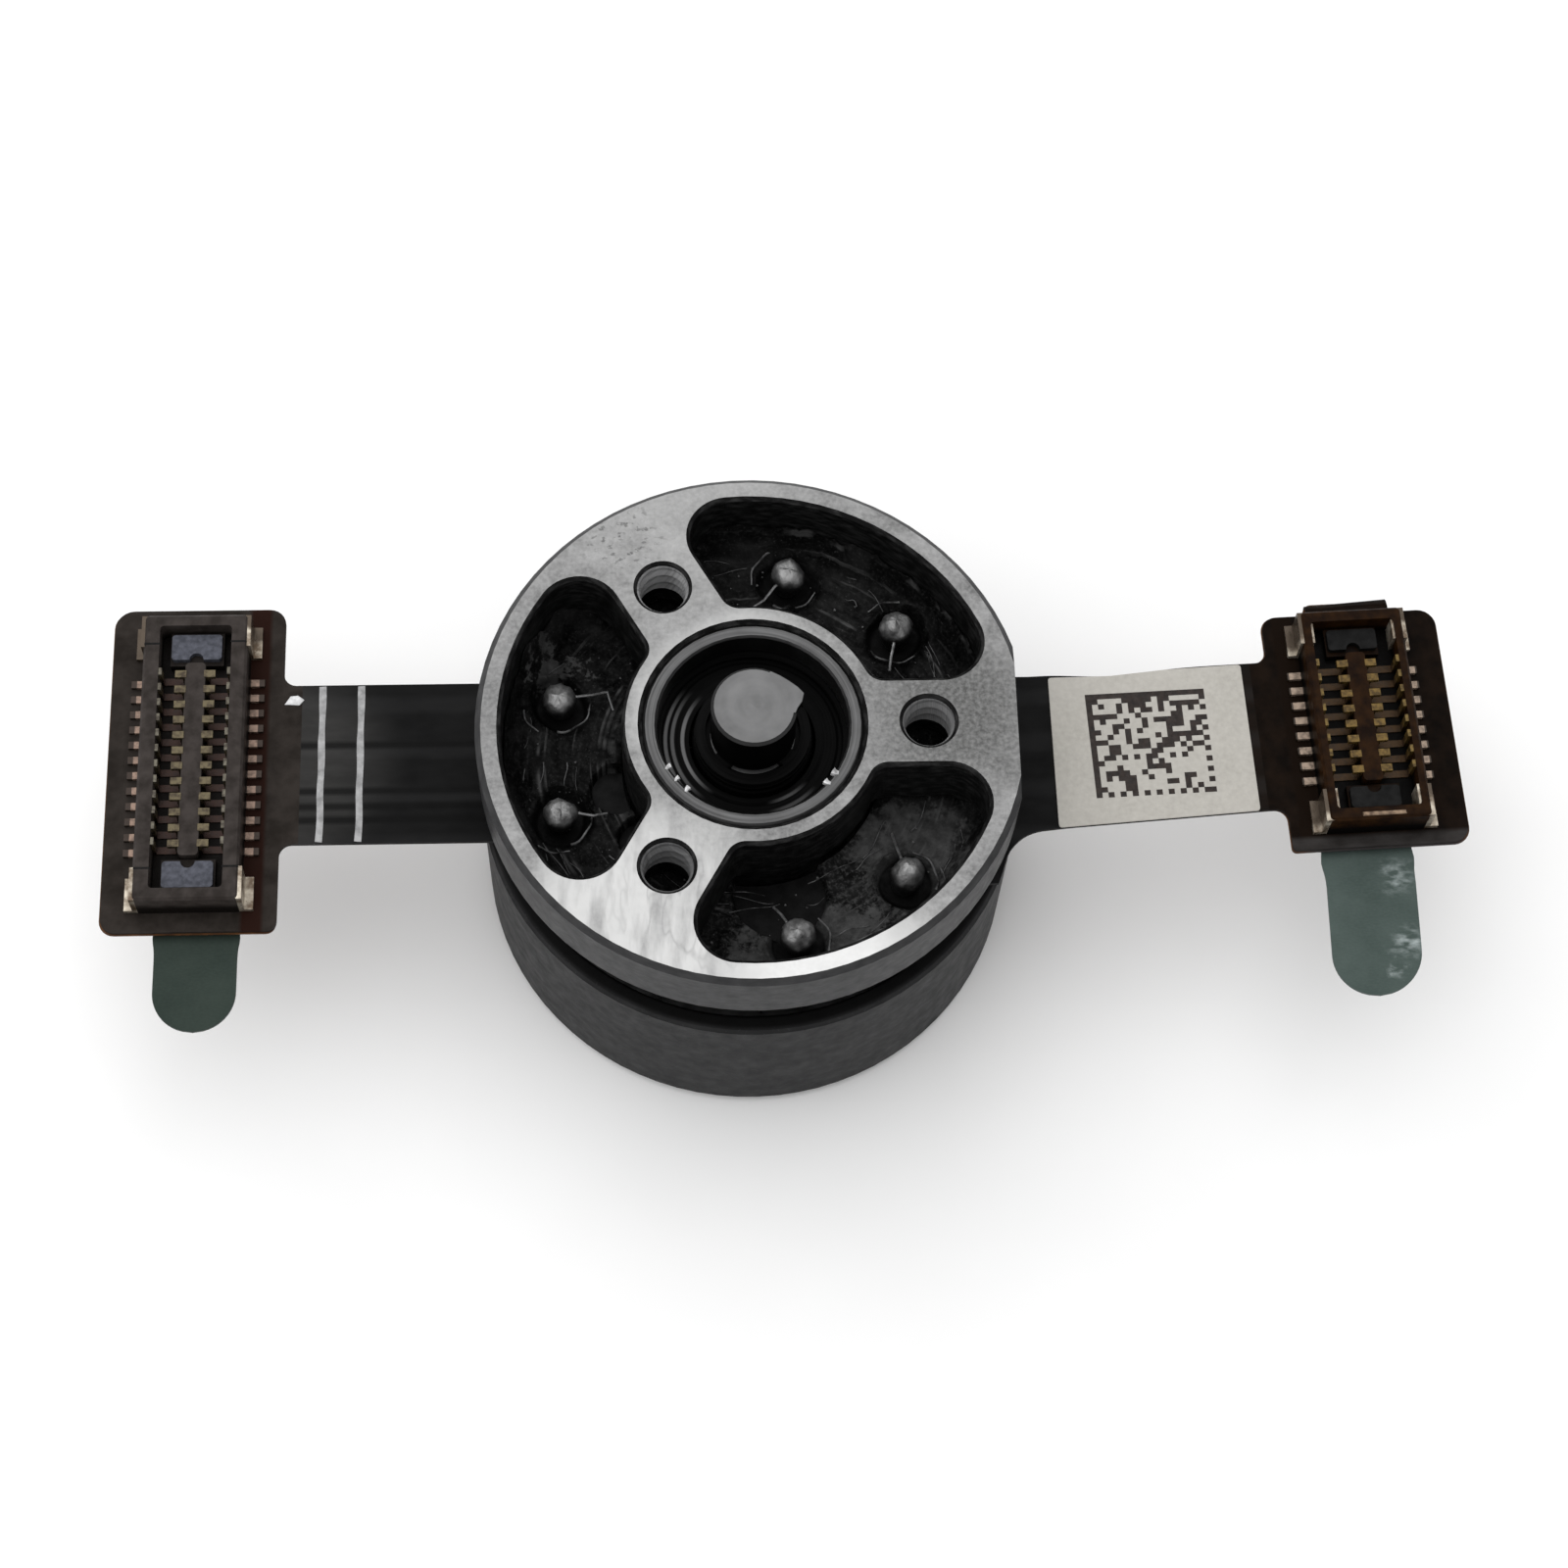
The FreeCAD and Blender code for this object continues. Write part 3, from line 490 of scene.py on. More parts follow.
def potting_material():
    """Black resin with greyer rubbed patches and faint strands that run round the shaft."""
    s = Shade("potting_resin")
    patch = s.grain(1.5, 4, offset=(4, 1, 2), rough=0.6)
    colour = s.ramp(patch, [(0.42, 0.0010), (0.52, 0.003), (0.66, 0.012)])
    rubbed = s.tone(s.grain(0.3, 4, offset=(1, 9, 2)), 0.022, 0.062)
    for at, size in (((0.6, -5.1), 1.2), ((3.7, -2.5), 1.5), ((2.0, -4.4), 1.0), ((-3.6, -3.9), 1.0),
                     ((-4.6, 2.4), 0.6)):
        colour = s.mix(s.near(at, size * 0.7, size, 0.8), colour, rubbed)
    crumb = s.mask(s.grain(0.10, 4, offset=(6, 2, 8), rough=0.7), 0.50, 0.68)
    low = s.math("ADD", s.times(s.near((2.2, -4.4), 2.2, 3.6), 0.55), 0.15)
    colour = s.mix(s.times(crumb, low), colour, 0.070)
    arcs = s.mask(s.radial(2.6, 5, 16.0), 0.56, 0.66)
    fade = s.mask(s.grain(0.8, 3, offset=(7, 3, 1)), 0.48, 0.62)
    colour = s.mix(s.times(s.times(arcs, fade), 0.7), colour, 0.085)
    dust = s.mask(s.grain(0.055, 2, offset=(3, 3, 3)), 0.64, 0.74)
    colour = s.mix(s.times(dust, 0.35), colour, 0.09)
    # Painted shade: near black down in the sunk well round each terminal.
    for t in TERMINALS:
        at = (TERMINAL_R * math.cos(math.radians(t)), TERMINAL_R * math.sin(math.radians(t)))
        colour = s.mix(s.near(at, 0.60, 0.70), colour, 0.0015)
    shine = s.tone(s.grain(0.2, 4), 0.50, 0.75, 0.35, 0.65)
    s.bump(s.grain(0.22, 5, rough=0.6), 0.012, 0.6)
    s.bump(s.grain(0.06, 3), 0.004)
    return s.finish(colour, shine, 0.0, 0.07)


def solder_material():
    s = Shade("solder")
    colour = s.tone(s.grain(0.3, 4), 0.17, 0.32)
    shine = s.tone(s.grain(0.15, 3), 0.44, 0.64)
    s.bump(s.grain(0.16, 5), 0.03)
    # Painted shade: faces that don't look up are darker.
    colour = s.mix(s.upward(0.1, 0.85), 0.03, colour)
    return s.finish(colour, shine, 0.85)


def flex_material(name, lines, sheen_and_tint=None):
    """Black coverlay over copper tracks that show as low ridges along the tail. Toward the given x it turns
    lighter: painted sheen on the left tail, the board's brown tint on the right.
    """
    s = Shade(name)
    tracks = s.node("ShaderNodeTexWave", wave_type="BANDS", bands_direction="Y")
    tracks.inputs["Scale"].default_value = 0.26
    tracks.inputs["Distortion"].default_value = 0.35
    tracks.inputs["Detail"].default_value = 1.0
    s.link(s.place(), tracks.inputs["Vector"])
    cloud = s.grain(0.6, 5, (0.4, 1, 1))
    colour = s.tone(cloud, (0.0030, 0.0030, 0.0031), (0.0065, 0.0065, 0.0066))
    # Lighter toward the given x: painted sheen on the left tail, the board's brown tint on the right.
    if sheen_and_tint:
        x, low, high = sheen_and_tint
        light = s.tone(s.grain(0.5, 5, (0.35, 1, 1)), low, high)
        colour = s.mix(s.near((x, 0.3), 1.3, 3.1), colour, light)
    ridge = s.mask(tracks.outputs["Fac"], 0.55, 0.95)
    colour = s.mix(s.times(ridge, 0.18), colour, (0.03, 0.03, 0.031))
    _, across, _ = s.axes(s.place())
    for y in lines:
        away = s.gap(across, y)
        colour = s.mix(s.tone(away, 0.8, 0.0, 0.04, 0.14), colour, 0.002)
        s.bump(s.mask(away, 0.02, 0.14), 0.02, 0.9)
    shine = s.tone(s.grain(0.25, 3, (0.5, 1, 1)), 0.42, 0.58)
    s.bump(tracks.outputs["Fac"], 0.006)
    s.bump(s.grain(0.05, 2), 0.0015)
    return s.finish(colour, shine, 0.0, 0.05)


def tab_material(name, tint, scuffs):
    """Translucent film: soft tone, with whitish scuffs where it was pinched."""
    s = Shade(name)
    colour = s.tone(s.grain(1.1, 5), *tint)
    weave = s.mask(s.grain(0.10, 3, (1, 2.2, 1)), 0.35, 0.75)
    colour = s.mix(s.times(weave, 0.25), colour, scaled(tint[1], 1.4))
    streak = s.grain(0.30, 4, (0.8, 1.7, 1), (0, 0, math.radians(48)), rough=0.5)
    streak = s.tone(streak, 0.0, 0.75, 0.44, 0.80)
    for at, size in scuffs:
        where = s.times(streak, s.near(at, 0.0, size, 0.25))
        colour = s.mix(where, colour, (0.52, 0.58, 0.58))
    shine = s.tone(s.grain(0.3, 3), 0.32, 0.5)
    s.bump(s.grain(0.5, 3), 0.01)
    return s.finish(colour, shine, 0.0, 0.06)


def board_material(name, tones, strip, worn=None):
    """Solder mask, stained along the row of solder tails. Worn is a height in y below which it has greyed."""
    s = Shade(name)
    x, turn, stain = strip
    colour = s.tone(s.grain(0.5, 5), *tones, 0.35, 0.65)
    along, across, _ = s.axes(s.place(turn=(0, 0, -turn)))
    colour = s.mix(s.tone(s.gap(along, x), 1.0, 0.0, 0.20, 0.30), colour, stain)
    if worn:
        grime = s.tone(s.grain(0.3, 4, (0.5, 1, 1)), (0.018, 0.016, 0.015), (0.036, 0.033, 0.032))
        colour = s.mix(s.mask(s.math("SUBTRACT", worn, across), 0.0, 0.12), colour, grime)
    s.bump(s.grain(0.05, 3), 0.004)
    return s.finish(colour, s.tone(s.grain(0.3, 3), 0.45, 0.6, 0.35, 0.65), 0.0, 0.03)


def front_edge():
    """Polyimide that is stained grey along the board's edge on the tab's side."""
    s = Shade("right_polyimide_edge")
    colour = s.tone(s.grain(0.4, 5), (0.045, 0.018, 0.006), (0.10, 0.042, 0.014), 0.35, 0.65)
    colour = s.mix(s.near((15.2, -3.3), 1.9, 2.6), colour, (0.036, 0.031, 0.031))
    s.bump(s.grain(0.05, 3), 0.002)
    return s.finish(colour, s.tone(s.grain(0.24, 3), 0.3, 0.5, 0.35, 0.65), 0.0, 0.15)


def contact_material(name, centre, turn, band, floor_shade, blade, hook, tail):
    """Gold contacts: painted dark down on the floor as shade, brighter on the blades and hooks, tinned on the
    tails.
    Band is how far out from the row's middle the tails pass under the housing's wall."""
    s = Shade(name)
    spot = s.grain(0.12, 3)
    along, _, z = s.axes(s.place(turn=(0, 0, -turn)))
    out = s.gap(along, (Matrix.Rotation(-turn, 3, "Z") @ centre).x)
    up = s.math("SUBTRACT", z, FILM_TOP)
    # Painted shade: the floor colour, darker low in the housing's well.
    colour = s.mix(s.mask(up, 0.30, 0.55), floor_shade, blade)
    colour = s.mix(s.mask(up, 0.72, 0.80), colour, hook)
    speck = s.tone(spot, 0.25, 1.0, 0.35, 0.6)
    colour = s.mix(speck, scaled(floor_shade, 0.4), colour)
    inner, outer = band
    shadow = s.math("LESS_THAN", s.gap(out, (inner + outer) / 2), (outer - inner) / 2)
    end = s.mix(shadow, scaled(tail, 0.12), s.mix(speck, scaled(tail, 0.3), tail))
    colour = s.mix(s.math("GREATER_THAN", out, inner - 0.03), colour, end)
    s.bump(s.grain(0.08, 3), 0.004)
    return s.finish(colour, s.tone(spot, 0.30, 0.45), 0.5, 0.3)


def body_material(name, tones, dark):
    """Moulded plastic, painted light and shade by height: lighter on its upper faces, nearly black down in the
    wells as painted shade.
    """
    s = Shade(name)
    top = s.tone(s.grain(0.35, 5), *tones, 0.35, 0.65)
    _, _, z = s.axes(s.place())
    # Painted light and shade by height: nearly black low in the wells, lighter on the upper faces.
    high = s.mask(s.math("SUBTRACT", z, FILM_TOP), 0.30, 0.55)
    s.bump(s.grain(0.05, 3), 0.004)
    rough = s.tone(s.grain(0.2, 3), 0.42, 0.58, 0.35, 0.65)
    return s.finish(s.mix(high, (dark, dark * 0.8, dark * 0.7), top), rough, 0.0, 0.05)


def plug_centre():
    """Middle of the right connector, from its housing."""
    low, high = flat_box("right_connector_housing")
    middle = (low + high) / 2
    return Matrix.Rotation(RIGHT_TURN, 3, "Z") @ (middle - RIGHT_PIVOT) + RIGHT_PIVOT


def anchor_material():
    """Tinned steel that is bright at the end nearer the tab and stained at the other."""
    s = Shade("corner_anchors")
    tone = s.tone(s.grain(0.35, 4), (0.10, 0.07, 0.045), (0.50, 0.45, 0.37), 0.40, 0.66)
    for at, size in (((-14.8, 3.5), 0.9), ((13.35, 3.35), 0.55), ((-11.9, 3.75), 0.35), ((16.1, 3.6), 0.4),
                     ((13.5, -1.35), 0.5), ((16.4, -1.0), 0.5)):
        tone = s.mix(s.near(at, size * 0.6, size), tone, (0.060, 0.044, 0.030))
    s.bump(s.grain(0.2, 4), 0.010)
    return s.finish(tone, s.tone(s.grain(0.2, 3), 0.25, 0.42, 0.35, 0.65), 0.6)


def label_material():
    s = Shade("label_paper")
    fibre = s.grain(0.12, 5)
    colour = s.tone(fibre, (0.35, 0.335, 0.305), (0.42, 0.405, 0.37))
    blotch = s.mask(s.grain(0.9, 3), 0.35, 0.75)
    colour = s.mix(s.times(blotch, 0.35), colour, (0.47, 0.45, 0.42))
    shine = s.tone(fibre, 0.62, 0.8)
    s.bump(fibre, 0.004)
    return s.finish(colour, shine, 0.0, 0.2)


def dress(material, *nodes):
    """Gives CAD nodes a material."""
    for node in nodes:
        cad = frame["nodes"][node]
        if not cad.material_slots:
            cad.data.materials.append(None)
        for material_slot in cad.material_slots:
            material_slot.link = "OBJECT"
            material_slot.material = material
    return material


def bearing_parts(*names):
    return [f"{place}_bearing_{name}" for place in ("upper", "lower") for name in names]


dress(plate_material(), "mount_plate")
dress(turned_metal("retainer_ring", grey(0.05), grey(0.11), (0.34, 0.48)), "bearing_retainer")
# Painted shade: the bearings and washers are near black, for the shade down in the hub's recess.
dress(turned_metal("bearing_rings", grey(0.001), grey(0.004), (0.3, 0.4), 0.1, 0.03),
      *bearing_parts("outer_ring", "inner_ring", "balls", "cage"), "thrust_washer", "preload_washer")
dress(shield_material(), *bearing_parts("shields"))
# The clip is black oxide, and its near-black grey is also the recess's painted shade.
dress(turned_metal("black_clip_and_shade", grey(0.001), grey(0.004), (0.35, 0.5), 0.1, 0.03), "retaining_clip")
dress(cup_material(), "rotor_cup")
dress(turned_metal("flux_ring", grey(0.12), grey(0.22)), "flux_ring")
dress(simple("magnet_plating", grey(0.30), grey(0.45), (0.2, 0.35), 1.0, 0.4, 0.002),
      "magnets_north", "magnets_south")
dress(simple("lamination_steel", grey(0.06), grey(0.14), (0.4, 0.6), 0.8, 0.3, 0.003), "stator_laminations")
dress(simple("insulator_plastic", grey(0.010), grey(0.022), (0.45, 0.6), 0.0, 0.4, 0.003, gloss=0.12),
      "lower_insulator", "upper_insulator")
dress(simple("enamelled_copper", (0.16, 0.05, 0.018), (0.34, 0.12, 0.045), (0.2, 0.35), 0.8, 0.2, 0.01,
             (1, 1, 6)), "coils_phase_a", "coils_phase_b", "coils_phase_c")
dress(simple("sensor_body", grey(0.012), grey(0.02), (0.3, 0.5), 0.0, 0.3, 0.002), "position_sensors")
dress(body_material("left_connector_body", ((0.022, 0.018, 0.016), (0.044, 0.037, 0.034)), 0.006),
      "left_connector_housing")
dress(body_material("right_connector_body", ((0.006, 0.0022, 0.0008), (0.020, 0.008, 0.002)), 0.0015),
      "right_connector_housing")
dress(contact_material("left_contacts", Vector((-13.30, 0.19, 0)), 0, (1.27, 1.47), (0.030, 0.014, 0.010),
                       (0.105, 0.085, 0.048), (0.12, 0.11, 0.085), (0.26, 0.18, 0.14)),
      "left_connector_contacts")
dress(contact_material("right_contacts", plug_centre(), RIGHT_TURN, (1.27, 1.56), (0.040, 0.020, 0.006),
                       (0.14, 0.088, 0.024), (0.15, 0.10, 0.03), (0.34, 0.26, 0.20)),
      "right_connector_contacts")
dress(anchor_material(), "left_connector_anchors", "right_connector_anchors")
dress(simple("end_plates", (0.045, 0.048, 0.060), (0.085, 0.089, 0.110), (0.45, 0.55), 0.0, 0.12, 0.004,
             gloss=0.1),
      "left_connector_end_plates")

MATS = {
    "shaft": dress(shaft_material(), "shaft"),
    "board": simple("terminal_board", grey(0.003), grey(0.008), (0.5, 0.6), 0.0, 0.3, 0.004, gloss=0.08),
    "potting": potting_material(),
    "strand": simple("loose_strands", grey(0.010), grey(0.13), (0.45, 0.6), 0.0, 0.3, 0.002, gloss=0.10),
    "rim": simple("well_rims", grey(0.004), grey(0.16), (0.45, 0.6), 0.0, 0.35, 0.004, gloss=0.15),
    "glint": simple("painted_glints", grey(0.30), grey(0.75), (0.3, 0.4), 0.6, 0.12, 0.002),
    # Painted light and shade: one thread finish in three copies, lighter in the upper hole and darker in the
    # other two.
    "thread_0": turned_metal("thread_right", grey(0.14), grey(0.26), (0.4, 0.5), 0.2),
    "thread_120": turned_metal("thread_upper", grey(0.20), grey(0.42), (0.3, 0.45), 0.2),
    "thread_240": turned_metal("thread_lower", grey(0.12), grey(0.24), (0.3, 0.45), 0.2),
    "solder": solder_material(),
    "wire": dress(simple("lead_wire", grey(0.10), grey(0.24), (0.3, 0.45), 0.7, 0.12, 0.002),
                  "terminal_pins"),
    "left_flex": flex_material("left_coverlay", (0.75, -0.45, -0.85, -1.2),
                               (-11.2, (0.020, 0.0195, 0.019), (0.036, 0.035, 0.034))),
    "right_flex": flex_material("right_coverlay", (), (13.1, (0.003, 0.0018, 0.0012), (0.009, 0.005, 0.003))),
    "left_board": board_material("left_board_mask", ((0.016, 0.013, 0.011), (0.030, 0.025, 0.022)),
                                 (-11.84, 0, (0.016, 0.006, 0.004))),
    "right_board": board_material("right_board_mask", ((0.003, 0.0018, 0.0012), (0.009, 0.005, 0.003)),
                                  (13.3, RIGHT_TURN, (0.006, 0.003, 0.0015)), -2.56),
    "amber": dress(simple("polyimide_edge", (0.045, 0.018, 0.006), (0.10, 0.042, 0.014), (0.3, 0.5), 0.0, 0.4,
                          0.002, gloss=0.15), "left_stiffener"),
    "right_amber": dress(front_edge(), "right_stiffener"),
    "silk": simple("silkscreen_ink", grey(0.20), grey(0.36), (0.5, 0.7), 0.0, 0.25, 0.002),
    "white": simple("white_dab", grey(0.45), grey(0.75), (0.4, 0.6), 0.0, 0.15, 0.004),
    "well": dress(simple("connector_wells", grey(0.002), grey(0.006), (0.5, 0.7), 0.0, 0.3, 0.002,
                         gloss=0.12), "right_connector_end_plates"),
    "bar": simple("end_bar", (0.07, 0.045, 0.03), (0.30, 0.21, 0.14), (0.3, 0.5), 0.5, 0.2, 0.003),
    "left_tab": tab_material("left_tab_film", ((0.021, 0.031, 0.026), (0.031, 0.043, 0.036)), ()),
    "right_tab": tab_material("right_tab_film", ((0.042, 0.059, 0.053), (0.063, 0.084, 0.077)),
                              (((15.45, -2.9), 0.66), ((15.55, -4.6), 0.62), ((15.15, -5.3), 0.35))),
    "label": label_material(),
    "ink": simple("code_ink", (0.006, 0.003, 0.002), (0.020, 0.012, 0.009), (0.5, 0.7), 0.0, 0.15, 0.002),
}


# --- terminal area ---
def polar(radius, degrees, z=0.0):
    a = math.radians(degrees)
    return Vector((radius * math.cos(a), radius * math.sin(a), z))


def well(p):
    """Height of the resin near a terminal: a broken rim about a sunk round well."""
    low, rim = 1.0, 0.0
    for i, t in enumerate(TERMINALS):
        arm = p - polar(TERMINAL_R, t)
        turn = math.atan2(arm.y, arm.x)
        wall = 0.74 + 0.05 * math.sin(2 * turn + 1.7 * i)
        low = min(low, max(0.0, (arm.length - wall + 0.14) / 0.14))
        broken = max(0.0, 0.55 + 0.6 * math.sin(turn + 2.1 * i + 1.0) + 0.25 * math.sin(3 * turn + i))
        rim = max(rim, math.exp(-((arm.length - wall) / 0.07) ** 2) * min(1.0, broken))
    return low, rim


def window_depth(p):
    """Distance in mm from the nearest wall of a window in the plate, negative under the metal."""
    spoke = min(abs((Matrix.Rotation(-math.radians(t), 3, "Z") @ p).y)
                for t in SPOKES if p.dot(polar(1, t)) > 0) - SPOKE_HALF
    outer = WINDOW_R - p.length
    if spoke < WINDOW_CORNER and outer < WINDOW_CORNER:
        return WINDOW_CORNER - math.hypot(WINDOW_CORNER - spoke, WINDOW_CORNER - outer)
    return min(spoke, outer)


def potting():
    """Lumpy resin over the board, sunk in the wells, on a ring that meets the plate."""
    steps, rings, inner, outer = 540, 54, 3.12, 5.86
    sinks = ((3.45, 280, 0.95, 0.20), (3.3, 192, 0.45, 0.20), (3.3, 216, 0.40, 0.15))
    verts = []
    for i in range(rings + 1):
        r = inner + (outer - inner) * i / rings
        for k in range(steps):
            p = polar(r, 360 * k / steps)
            along = Vector((r * 5.0, p.x * 0.9, p.y * 0.9))
            lump = 0.09 * fuzz(p, 0.9, 2.0) + 0.05 * fuzz(along, 1.0, 4.0) + 0.03 * fuzz(p, 4.5, 5.0)
            low, rim = well(p)
            filled = min([1.0] + [max(0.0, ((p - polar(at, t)).length - size) / soft)
                                  for at, t, size, soft in sinks])
            z = BOARD_FACE + 0.05 + lump * low - 0.20 * (1 - low) + 0.20 * rim - 0.9 * (1 - filled)
            depth = window_depth(p)
            if depth > 0.02:
                climb = max(0.0, 1 - depth / 0.55) * min(1.0, max(0.0, (r - 4.9) / 0.5))
                z += (1.15 + 3 * lump) * climb ** 1.6
            else:
                z = min(z, BOARD_TOP - 0.02)
            verts.append((p.x, p.y, z))
    piece("potting_resin", verts, ring_faces(rings, steps), MATS["potting"], "stator", "terminal_board_black",
          sharp=60)
    build = Build()
    top = BOARD_TOP - 0.002
    build.lathe([(3.1, BOARD_BOTTOM), (6.05, BOARD_BOTTOM), (6.05, top), (5.85, top),
                 (5.85, BOARD_BOTTOM + 0.3), (3.1, BOARD_BOTTOM + 0.1), (3.1, BOARD_BOTTOM)], 128)
    build.piece("board_ring", MATS["board"], "stator", "terminal_board_black", replaces=["terminal_board"])


def strands():
    """Ends of winding, flakes and burrs of resin that lie over the potting."""
    rng = random.Random(11)
    build, rims = Build(), Build()
    for _ in range(110):
        t = rng.uniform(0, 360)
        r = rng.choice((rng.uniform(4.9, 5.75), rng.uniform(3.4, 5.7)))
        length = rng.uniform(0.3, 1.5)
        lean = rng.uniform(-0.35, 0.35)
        path = []
        for k in range(9):
            f = k / 8
            rr = min(5.75, max(3.3, r + lean * length * (f - 0.5) + 0.05 * math.sin(5 * f + t)))
            p = polar(rr, t + math.degrees(length * f / r))
            if min((p - polar(TERMINAL_R, a)).length for a in TERMINALS) < 0.68:
                break
            p.z = BOARD_FACE + 0.10 + 0.04 * math.sin(7 * f + r)
            path.append(p)
        if len(path) > 3:
            build.tube(path, rng.uniform(0.008, 0.017), 6, 0.5)
    # Broken rims of resin round each well; their grey is painted highlight on the black resin.
    for i, t in enumerate(TERMINALS):
        for radius, start, sweep in ((0.74, 215 + 25 * i, 95), (0.90, 60 + 50 * i, 75)):
            middle = polar(TERMINAL_R, t, BOARD_FACE + 0.22)
            arc = [middle + polar(radius + 0.02 * math.sin(k), start + sweep * k / 12) for k in range(13)]
            rims.tube(arc, 0.032, 6, 0.5)
    for _ in range(110):
        p = polar(rng.uniform(3.4, 5.7), rng.uniform(0, 360), BOARD_FACE + rng.uniform(0.07, 0.13))
        size = rng.uniform(0.015, 0.04)
        build.tube([p, p + Vector((size, size * rng.uniform(-1, 1), 0.01))], size, 6, 0.4)
    build.piece("winding_strands", MATS["strand"], "stator", "terminal_board_black")
    rims.piece("well_rims", MATS["rim"], "stator", "terminal_board_black")


LEADS = [
    [(-0.06, -0.40), (-0.14, -0.72), (-0.18, -1.02)], [(-0.32, -0.28), (-0.60, -0.62), (-0.95, -0.80)],
    [(0.40, 0.04), (0.80, 0.12), (1.14, 0.24), (1.28, -0.16)], [(0.42, -0.02), (0.80, -0.06), (1.12, 0.04)],
    [(-0.26, 0.32), (-0.42, 0.60), (-0.58, 0.80)], [(-0.10, 0.40), (-0.22, 0.78), (-0.30, 1.14)],
]


def solder_and_wires():
    """Blobs of solder on waisted feet, each with its winding lead."""
    domes, wires = Build(), Build()
    for i, t in enumerate(TERMINALS):
        at = polar(TERMINAL_R, t, BOARD_FACE)
        lean = Vector((0.05 * math.sin(3 * i), 0.05 * math.cos(5 * i), 0))

        def slump(v):
            return v * (1 + 0.10 * fuzz(v, 2.2, i) + 0.03 * fuzz(v, 7.0, i)) + lean * (v.z / 0.45)

        profile = [(0.33, 0.0), (0.34, 0.12), (0.37, 0.24), (0.405, 0.36), (0.410, 0.46), (0.395, 0.58),
                   (0.35, 0.68), (0.28, 0.76), (0.19, 0.82), (0.09, 0.85), (0.001, 0.86)]
        domes.lathe(profile, 40, at, slump)
        path = [at + Vector((0, 0, 0.5))]
        path += [at + Vector((x, y, z)) for (x, y), z in zip(LEADS[i], (0.52, 0.44, 0.34, 0.16))]
        fine = [a.lerp(b, k / 4) for a, b in zip(path, path[1:]) for k in range(4)]
        wires.tube(fine + path[-1:], 0.040, 8, 0.8)
    domes.piece("solder_domes", MATS["solder"], "stator", "solder", replaces=["solder_joints"], sharp=70)
    wires.piece("winding_leads", MATS["wire"], "stator", "lead_wire", replaces=["lead_wires"])


def screw_threads():
    """Thread flanks inside each mounting hole."""
    pitch, turns, steps = 0.35, 2.9, 40
    rows = int(turns * 14)
    for t in SPOKES:
        at, verts = polar(SCREW_CIRCLE_R, t), []
        for i in range(rows + 1):
            z = PLATE_TOP - 0.10 - pitch * turns * i / rows
            for k in range(steps):
                flank = abs(2 * ((z / pitch + k / steps) % 1.0) - 1)
                p = at + polar(0.617 - 0.085 * flank * min(1, i / 6), 360 * k / steps)
                verts.append((p.x, p.y, z))
        faces = [(a, d, c, b) for a, b, c, d in ring_faces(rows, steps)]
        piece(f"screw_thread_{t}", verts, faces, MATS[f"thread_{t}"], "stator", "plate_aluminium", sharp=80)


def shaft_burr():
    """The turned-up burr at the rim of the shaft's end, and small bright bits inside the retainer as painted
    glints.
    """
    top = box_mm("shaft")[1].z
    burr = Build()
    lip = [tuple(polar(0.84, a))[:2] for a in (-12, 10, 30, 50, 68)]
    rim = ((0.985, 66), (1.0, 52), (1.05, 38), (1.14, 25), (1.22, 15), (1.13, 5), (1.02, -4), (0.985, -12))
    lip += [tuple(polar(r, a))[:2] for r, a in rim]
    burr.slab(list(reversed(lip)), top - 0.20, top + 0.004)
    bevel(burr.piece("shaft_burr", MATS["shaft"], "rotor", "shaft_steel"), 0.03)
    # Painted glints: small bright metal bits at the retainer's inner rim.
    marks = Build()
    level = box_mm("bearing_retainer")[1].z - 0.03
    for t, size in ((208, 0.10), (217, 0.08), (226, 0.10), (318, 0.12), (326, 0.14)):
        p = polar(2.27, t, level)
        marks.tube([p + polar(-0.07, t), p, p + polar(0.08, t + 25)], size * 0.8, 8, 0.5)
    marks.piece("painted_glints", MATS["glint"], "stator", "retainer_steel")


# --- flexible tails ---
def film(name, columns, edges, end_board, levels, material, tail, slot, replaces=(), sag=lambda x: 0.0):
    """One sheet: a strip cut into columns, and an end board that continues it."""
    body, turn, start, end = tail
    z0, z1 = levels
    across = 6
    lines = across + 1
    top = []
    for x in columns:
        low, high = edges(x)
        top += [Vector((x, low + (high - low) * k / across, z1 + sag(x))) for k in range(lines)]
    n = len(top)
    faces = [tuple(range(lines)) + tuple(n + k for k in reversed(range(lines)))]
    for a in range(0, n - lines, lines):
        b = a + lines
        for k in range(across):
            quad = (a + k, b + k, b + k + 1, a + k + 1)
            faces += [quad, tuple(n + q for q in reversed(quad))]
        faces += [(a, n + a, n + b, b), (b + across, n + b + across, n + a + across, a + across)]
    outline = end_board(top[-lines].y, top[-1].y)
    m, last = len(outline), n - lines
    ring_top = [last + k for k in range(lines)] + [2 * n + k for k in range(m)]
    ring_low = [n + last + k for k in range(lines)] + [2 * n + m + k for k in range(m)]
    faces += [tuple(reversed(ring_top)), tuple(ring_low)]
    for a in range(across, lines + m):
        b = (a + 1) % (lines + m)
        faces.append((ring_top[a], ring_top[b], ring_low[b], ring_low[a]))
    if columns[-1] < columns[0]:
        faces = [tuple(reversed(face)) for face in faces]
    low = [v - Vector((0, 0, z1 - z0)) for v in top]
    build = Build()
    build.add(top + low + [(x, y, z) for z in (z1, z0) for x, y in outline], faces)
    if turn:
        build.turned(turn, RIGHT_PIVOT)
    obj = build.piece(name, material, None, slot, replaces=replaces, sharp=30)
    if isinstance(material, list):
        for polygon in obj.data.polygons:
            polygon.material_index = int(abs(polygon.center.x) > abs(outline[0][0]) * MM)
    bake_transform(obj)


